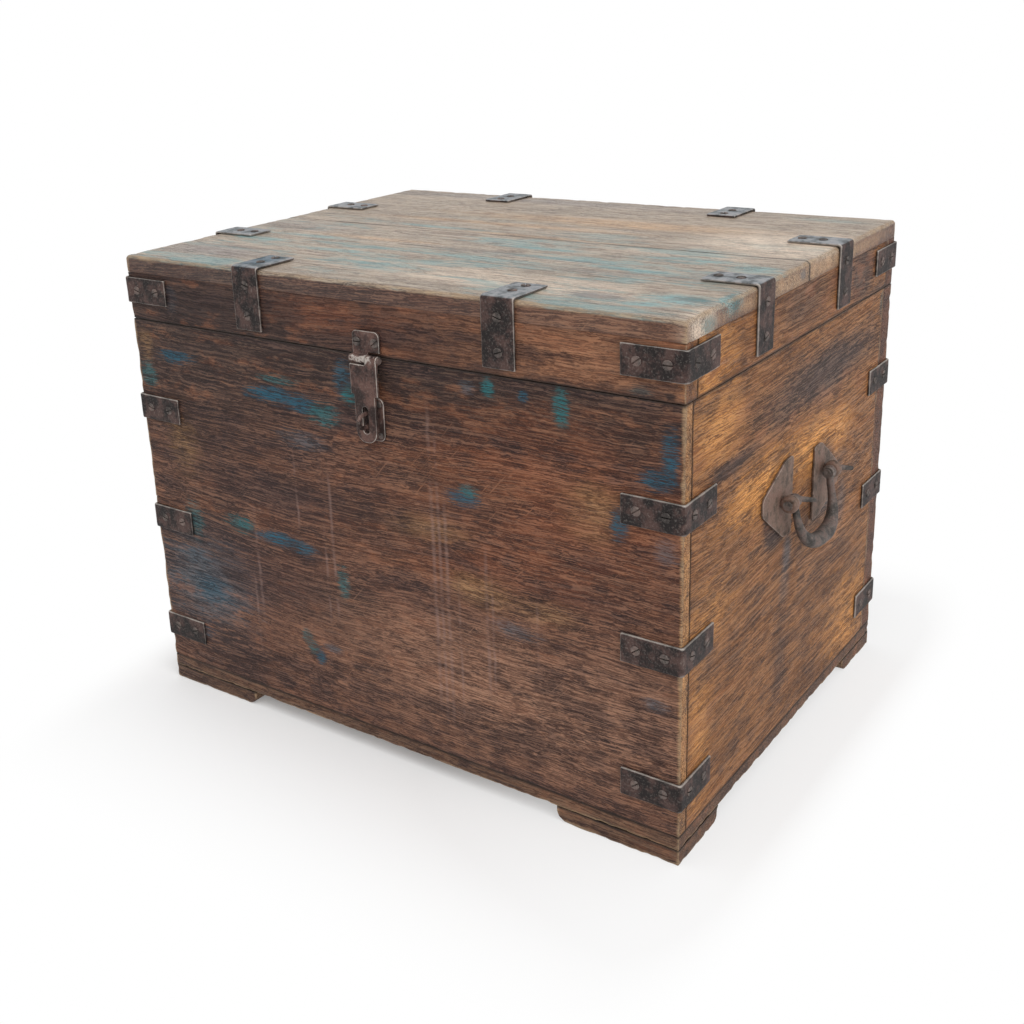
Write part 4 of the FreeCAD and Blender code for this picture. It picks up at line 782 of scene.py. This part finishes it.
def plank(node, across, lip=None):
    """A board in even quads: a grid over its face, thickened along one axis, with a lip if it has one."""
    low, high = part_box(node)
    step = bpy.context.scene.chest_wood.step
    size = high - low
    wide, tall = [axis for axis in range(3) if axis != across]
    turn = Matrix.Identity(4)
    turn[0][0] = turn[1][1] = turn[2][2] = 0.0
    turn[wide][0], turn[tall][1], turn[across][2] = size[wide], size[tall], 1.0
    turn.translation = (low + high) / 2
    turn.translation[across] = low[across]
    bm = bmesh.new()
    bmesh.ops.create_grid(bm, x_segments=max(2, round(size[wide] / step)),
                          y_segments=max(2, round(size[tall] / step)), size=0.5, matrix=turn)
    depths = [(lip[0], None), (size[across] - lip[0], lip[1])] if lip else [(size[across], None)]
    faces = bm.faces[:]
    for depth, inset in depths:
        if inset:
            faces = [face for face in faces if abs(face.calc_center_median()[wide]) < inset]
        raised = bmesh.ops.extrude_face_region(bm, geom=faces)["geom"]
        move = Vector()
        move[across] = depth
        points = [part for part in raised if isinstance(part, bmesh.types.BMVert)]
        bmesh.ops.translate(bm, vec=move, verts=points)
        if inset:
            bmesh.ops.delete(bm, geom=faces, context="FACES")
        faces = [part for part in raised if isinstance(part, bmesh.types.BMFace)]
    bmesh.ops.recalc_face_normals(bm, faces=bm.faces)
    thick = [edge for edge in bm.edges if abs((edge.verts[0].co - edge.verts[1].co)[across]) > step]
    if thick:
        cuts = max(1, round(size[across] / step) - 1)
        bmesh.ops.subdivide_edges(bm, edges=thick, cuts=cuts, use_grid_fill=True)
    return bm, low, high


def board(node, across, slot, material=None, seams=(), seed=0.0, lip=None, rounding=None, chip=None, tight=()):
    """Adds a weathered board in the place of its solid."""
    sizes = bpy.context.scene.chest_wood
    bm, low, high = plank(node, across, lip)
    if rounding:
        upper = [edge for edge in bm.edges if edge.calc_face_angle(0.0) > SHARP
                 and all(vert.co.z > high.z - TOUCH for vert in edge.verts)
                 and arris_gap(middle(edge), low, high, seams)[1] > TOUCH]
        round_edges(bm, upper, rounding, 4)
    round_edges(bm, open_edges(bm, False, low, high, seams), sizes.arris)
    loose = [face for face in seams if face not in tight]
    round_edges(bm, open_edges(bm, True, low, high, loose), sizes.seam_arris)
    weather(bm, low, high, seams, seed, sizes.chip if chip is None else chip, tight)
    settle(bm, node + "_wood", node, material or slot)


def foot(node, seed):
    """Adds a foot: a block whose inner lower edges are rounded."""
    sizes = bpy.context.scene.chest_wood
    low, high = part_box(node)
    bm = bmesh.new()
    bmesh.ops.create_cube(bm, size=1.0)
    bmesh.ops.scale(bm, vec=high - low, verts=bm.verts)
    centre = (low + high) / 2
    bmesh.ops.translate(bm, vec=centre, verts=bm.verts)
    inner = [edge for edge in bm.edges
             if all(vert.co.z < low.z + TOUCH for vert in edge.verts)
             and (all(abs(vert.co.x) < abs(centre.x) for vert in edge.verts)
                  or all(abs(vert.co.y) < abs(centre.y) for vert in edge.verts))]
    round_edges(bm, inner, sizes.foot_round, 5)
    round_edges(bm, open_edges(bm, False, low, high, ("z+",)), sizes.arris)
    for axis in range(3):
        count = max(1, round((high - low)[axis] / sizes.step))
        way = Vector()
        way[axis] = 1.0
        for index in range(1, count):
            bmesh.ops.bisect_plane(bm, geom=bm.verts[:] + bm.edges[:] + bm.faces[:], dist=1e-6,
                                   plane_co=low.lerp(high, index / count), plane_no=way)
    weather(bm, low, high, ("z+",), seed, sizes.chip)
    settle(bm, node + "_wood", node, "base_wood")


def forged(node, slot, share=1.0, dent=1.0, seed=0.0, smooth=2, material=None):
    """Adds an iron in the place of its solid: even faces, softened edges and shallow dents.

    Its points say how far they stick out, for the rubbed edges.
    """
    sizes = bpy.context.scene.chest_iron
    bm = bmesh.new()
    bm.from_mesh(frame["nodes"][node].data)
    bmesh.ops.remove_doubles(bm, verts=bm.verts, dist=1e-6)
    rough = bpy.data.meshes.new("blank")
    bm.to_mesh(rough)
    bm.free()
    holder = bpy.data.objects.new("blank", rough)
    bpy.context.scene.collection.objects.link(holder)
    remesh = holder.modifiers.new("Remesh", "REMESH")
    remesh.mode = "VOXEL"
    remesh.voxel_size = sizes.grain * share
    bpy.context.view_layer.update()
    even = bpy.data.meshes.new_from_object(holder.evaluated_get(bpy.context.evaluated_depsgraph_get()))
    bpy.data.objects.remove(holder)
    bpy.data.meshes.remove(rough)
    if not even.polygons:
        raise RuntimeError(f"{node} gave no even mesh")
    bm = bmesh.new()
    bm.from_mesh(even)
    bpy.data.meshes.remove(even)
    low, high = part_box(node)
    bm.normal_update()
    for _ in range(smooth):
        bmesh.ops.smooth_vert(bm, verts=bm.verts, factor=0.5, use_axis_x=True, use_axis_y=True,
                              use_axis_z=True)
    bm.normal_update()
    worn = bm.verts.layers.float.new("worn")
    shift = Vector((seed, -seed, seed * 0.5))
    moves = []
    for vert in bm.verts:
        around = [edge.other_vert(vert).co for edge in vert.link_edges]
        mean = sum(around, Vector()) / len(around)
        out = (vert.co - mean).dot(vert.normal) / (sizes.grain * share)
        vert[worn] = min(1.0, max(0.0, out * 4.5))
        bump = noise.fractal(vert.co * DENTS + shift, 0.8, 2.0, 3)
        moves.append(vert.normal * (-sizes.dent * dent * max(0.0, 0.4 + bump)))
    wear(bm, moves, low, high)
    settle(bm, node + "_iron", node, material or slot)


# Operators.

CORNERS = ("front_left", "front_right", "back_left", "back_right")
EDGE_STRAPS = ("front_left", "front_right", "right_front", "right_back", "left_front", "left_back")
LIP = (0.013, 0.285)  # depth of a front board's outer part, and half length of its inner part, in metres
LID_CHIP = 0.0022  # depth of the chips along the lid's arrises, in metres


class ChestCarcass(Operator):
    """Adds the front, back and end boards of the carcass"""

    bl_idname = "chest.carcass"
    bl_label = "Carcass boards"

    def execute(self, context):
        board("front_upper_board", 1, "front_wood", seams=("z-", "z+"), seed=1.0, lip=LIP, tight=("z-",))
        board("front_lower_board", 1, "front_wood", seams=("z+", "z-"), seed=2.0, lip=LIP, tight=("z+",))
        board("back_board", 1, "front_wood", seams=("z-", "z+"), seed=3.0)
        for side, seed in (("left", 4.0), ("right", 5.0)):
            board(side + "_end_board", 0, "end_wood", seams=("z-", "z+", "y-", "y+"), seed=seed)
        return {"FINISHED"}


class ChestBase(Operator):
    """Adds the bottom board and the four feet"""

    bl_idname = "chest.base"
    bl_label = "Base"

    def execute(self, context):
        board("bottom_board", 2, "base_wood", seams=("z+",), seed=6.0)
        for index, place in enumerate(CORNERS):
            foot("foot_" + place, 7.0 + index)
        return {"FINISHED"}


class ChestLid(Operator):
    """Adds the two boards on top of the lid"""

    bl_idname = "chest.lid"
    bl_label = "Lid boards"

    def execute(self, context):
        rounding = context.scene.chest_wood.lid_round
        for side, seam, seed in (("front", "y+", 12.0), ("back", "y-", 13.0)):
            board(f"lid_{side}_board", 2, "lid_wood", seams=("z-", seam), seed=seed, rounding=rounding,
                  chip=LID_CHIP, tight=("z-",))
        return {"FINISHED"}


class ChestRails(Operator):
    """Adds the four rails of the lid"""

    bl_idname = "chest.rails"
    bl_label = "Lid rails"

    def execute(self, context):
        for side, seed in (("front", 14.0), ("back", 15.0)):
            board(f"lid_{side}_rail", 1, "rail_wood", seams=("z-", "z+"), seed=seed, tight=("z+",))
        for side, seed in (("left", 16.0), ("right", 17.0)):
            board(f"lid_{side}_rail", 0, "rail_wood", "rail_end_wood", seams=("z-", "z+", "y-", "y+"),
                  seed=seed, tight=("z+",))
        return {"FINISHED"}


class ChestStraps(Operator):
    """Adds the iron straps round the corners and over the edges of the lid"""

    bl_idname = "chest.straps"
    bl_label = "Straps"

    def execute(self, context):
        for index, place in enumerate(CORNERS):
            forged("corner_straps_" + place, "strap_iron", seed=20.0 + index)
            forged("lid_corner_strap_" + place, "strap_iron", seed=24.0 + index)
        for index, place in enumerate(EDGE_STRAPS):
            forged("lid_edge_strap_" + place, "strap_iron", seed=28.0 + index)
        return {"FINISHED"}


class ChestHinges(Operator):
    """Adds the hinge straps and leaves of the lid"""

    bl_idname = "chest.hinges"
    bl_label = "Hinges"

    def execute(self, context):
        for index, side in enumerate(("left", "right")):
            forged("hinge_upper_strap_" + side, "strap_iron", share=0.8, seed=34.0 + index, dent=0.5)
            forged("hinge_lower_leaf_" + side, "strap_iron", share=0.8, seed=36.0 + index, dent=0.5)
        return {"FINISHED"}


class ChestHasp(Operator):
    """Adds the hasp, its leaf, the staple and the plate under it"""

    bl_idname = "chest.hasp"
    bl_label = "Hasp"

    def execute(self, context):
        for index, name in enumerate(("hasp_leaf", "hasp_strap", "staple", "staple_plate")):
            forged(name, "hasp_iron", share=0.6, seed=38.0 + index, dent=0.7, smooth=1)
        return {"FINISHED"}


class ChestHandles(Operator):
    """Adds the plates, eyes and bails of the two handles"""

    bl_idname = "chest.handles"
    bl_label = "Handles"

    def execute(self, context):
        seed = 44.0
        for side in ("left", "right"):
            for end in ("front", "back"):
                forged(f"handle_plate_{side}_{end}", "handle_iron", share=0.7, seed=seed)
                forged(f"handle_eye_{side}_{end}", "handle_iron", share=0.6, seed=seed + 0.5)
                seed += 1.0
            forged("bail_" + side, "handle_iron", share=0.7, seed=seed, dent=1.6, material="bail_iron")
            seed += 1.0
        return {"FINISHED"}


class ChestFasteners(Operator):
    """Gives the screws, nails and pins their finish"""

    bl_idname = "chest.fasteners"
    bl_label = "Screws, nails and pins"

    def execute(self, context):
        for name, node in frame["nodes"].items():
            if not node.hide_render:
                if not name.endswith(("screws", "nails")) and "pin" not in name:
                    raise RuntimeError(f"{name} has no piece")
                for place in node.material_slots:
                    place.link = "OBJECT"
                    place.material = finish("handle_pin_iron" if name.startswith("handle") else "screw_iron")
        return {"FINISHED"}


def looked_at(nodes):
    """1 for the camera, mirrors and clear things, 0 for the light that a surface gives."""
    camera, glossy, clear = (nodes.add("LightPath", out=index) for index in (0, 3, 6))
    return nodes.larger(camera, nodes.larger(glossy, clear))


class ChestStageSetter(Operator):
    """Adds the floor, the sky, the lamps and the camera"""

    bl_idname = "chest.stage"
    bl_label = "Stage"

    def execute(self, context):
        scene = context.scene
        stage = scene.chest_stage
        scene.view_settings.view_transform = "Standard"

        bm = bmesh.new()
        bmesh.ops.create_circle(bm, cap_ends=True, segments=96, radius=30.0)
        mesh = bpy.data.meshes.new("floor")
        bm.to_mesh(mesh)
        bm.free()
        floor = bpy.data.objects.new("floor", mesh)
        scene.collection.objects.link(floor)
        material, shader, nodes, place = blank("pale_floor")
        nodes.feed(shader.inputs["Base Color"], stage.floor)
        shader.inputs["Roughness"].default_value = 1.0
        shader.inputs["Specular IOR Level"].default_value = 0.0
        # Towards the camera the floor glows white, least near the chest and to its left, so that the shadow
        # shows there and fades out: painted light on the floor, strongest at the right.
        beyond = nodes.vector("SUBTRACT", nodes.vector("ABSOLUTE", place), (HALF_LENGTH, HALF_DEPTH, 0.0))
        beyond = nodes.vector("MULTIPLY", nodes.vector("MAXIMUM", beyond, ZERO), (2.6, 1.0, 1.0))
        far = nodes.fit(nodes.vector("LENGTH", beyond, out=1), 0.0, 0.24, 0.2, 1.0)
        right = nodes.fit(nodes.add("SeparateXYZ", {0: place}), -0.15, 0.34, 0.0, 0.62)
        share = nodes.times(looked_at(nodes), nodes.larger(far, right))
        white = nodes.add("Emission", {0: (1.0, 1.0, 1.0), 1: 1.0})
        mixed = nodes.add("MixShader", {0: share, 1: shader.outputs[0], 2: white})
        output = next(node for node in nodes.tree.nodes if node.type == "OUTPUT_MATERIAL")
        nodes.feed(output.inputs[0], mixed)
        mesh.materials.append(material)

        world = bpy.data.worlds.new("sky")
        world.use_nodes = True
        scene.world = world
        nodes = Nodes(world.node_tree)
        strength = nodes.add("MapRange", {0: looked_at(nodes), 1: 0.0, 2: 1.0, 3: stage.sky, 4: 1.0})
        background = world.node_tree.nodes["Background"]
        background.inputs[0].default_value = WHITE
        nodes.feed(background.inputs[1], strength)

        for name, strength, direction, spread in (
            ("lamp_above", stage.above, (0.15, 0.25, -1.0), 75.0),
            ("lamp_side", stage.side, (-1.0, 0.35, -0.75), 50.0),
        ):
            lamp = bpy.data.lights.new(name, "SUN")
            lamp.energy = strength
            lamp.angle = radians(spread)
            holder = bpy.data.objects.new(name, lamp)
            holder.matrix_world = Vector(direction).to_track_quat("-Z", "Y").to_matrix().to_4x4()
            scene.collection.objects.link(holder)

        camera = bpy.data.cameras.new("camera")
        camera.lens = stage.lens
        camera.shift_x = stage.shift_across
        camera.shift_y = stage.shift_up
        holder = bpy.data.objects.new("camera", camera)
        holder.matrix_world = (
            Matrix.Translation(stage.eye) @ Matrix.Rotation(stage.heading, 4, "Z")
            @ Matrix.Rotation(radians(90) - stage.fall, 4, "X") @ Matrix.Rotation(stage.roll, 4, "Z")
        )
        scene.collection.objects.link(holder)
        scene.camera = holder
        return {"FINISHED"}


STEPS = ("carcass", "base", "lid", "rails", "straps", "hinges", "hasp", "handles", "fasteners", "stage")


class ChestPanel(Panel):
    """Sizes, colours and steps of the chest"""

    bl_idname = "VIEW3D_PT_chest"
    bl_label = "Damchiya chest"
    bl_space_type = "VIEW_3D"
    bl_region_type = "UI"
    bl_category = "Chest"

    def draw(self, context):
        for group in (context.scene.chest_wood, context.scene.chest_iron, context.scene.chest_stage):
            box = self.layout.box()
            for name in group.bl_rna.properties.keys():
                if name not in ("rna_type", "name"):
                    box.prop(group, name)
        for name in STEPS:
            self.layout.operator("chest." + name)


CLASSES = (ChestWood, ChestIron, ChestStage, ChestCarcass, ChestBase, ChestLid, ChestRails, ChestStraps,
           ChestHinges, ChestHasp, ChestHandles, ChestFasteners, ChestStageSetter, ChestPanel)


def register():
    for entry in CLASSES:
        bpy.utils.register_class(entry)
    bpy.types.Scene.chest_wood = PointerProperty(type=ChestWood)
    bpy.types.Scene.chest_iron = PointerProperty(type=ChestIron)
    bpy.types.Scene.chest_stage = PointerProperty(type=ChestStage)


def unregister():
    del bpy.types.Scene.chest_wood
    del bpy.types.Scene.chest_iron
    del bpy.types.Scene.chest_stage
    for entry in reversed(CLASSES):
        bpy.utils.unregister_class(entry)


def main():
    register()
    for name in STEPS:
        getattr(bpy.ops.chest, name)()


if __name__ == "__main__":
    main()
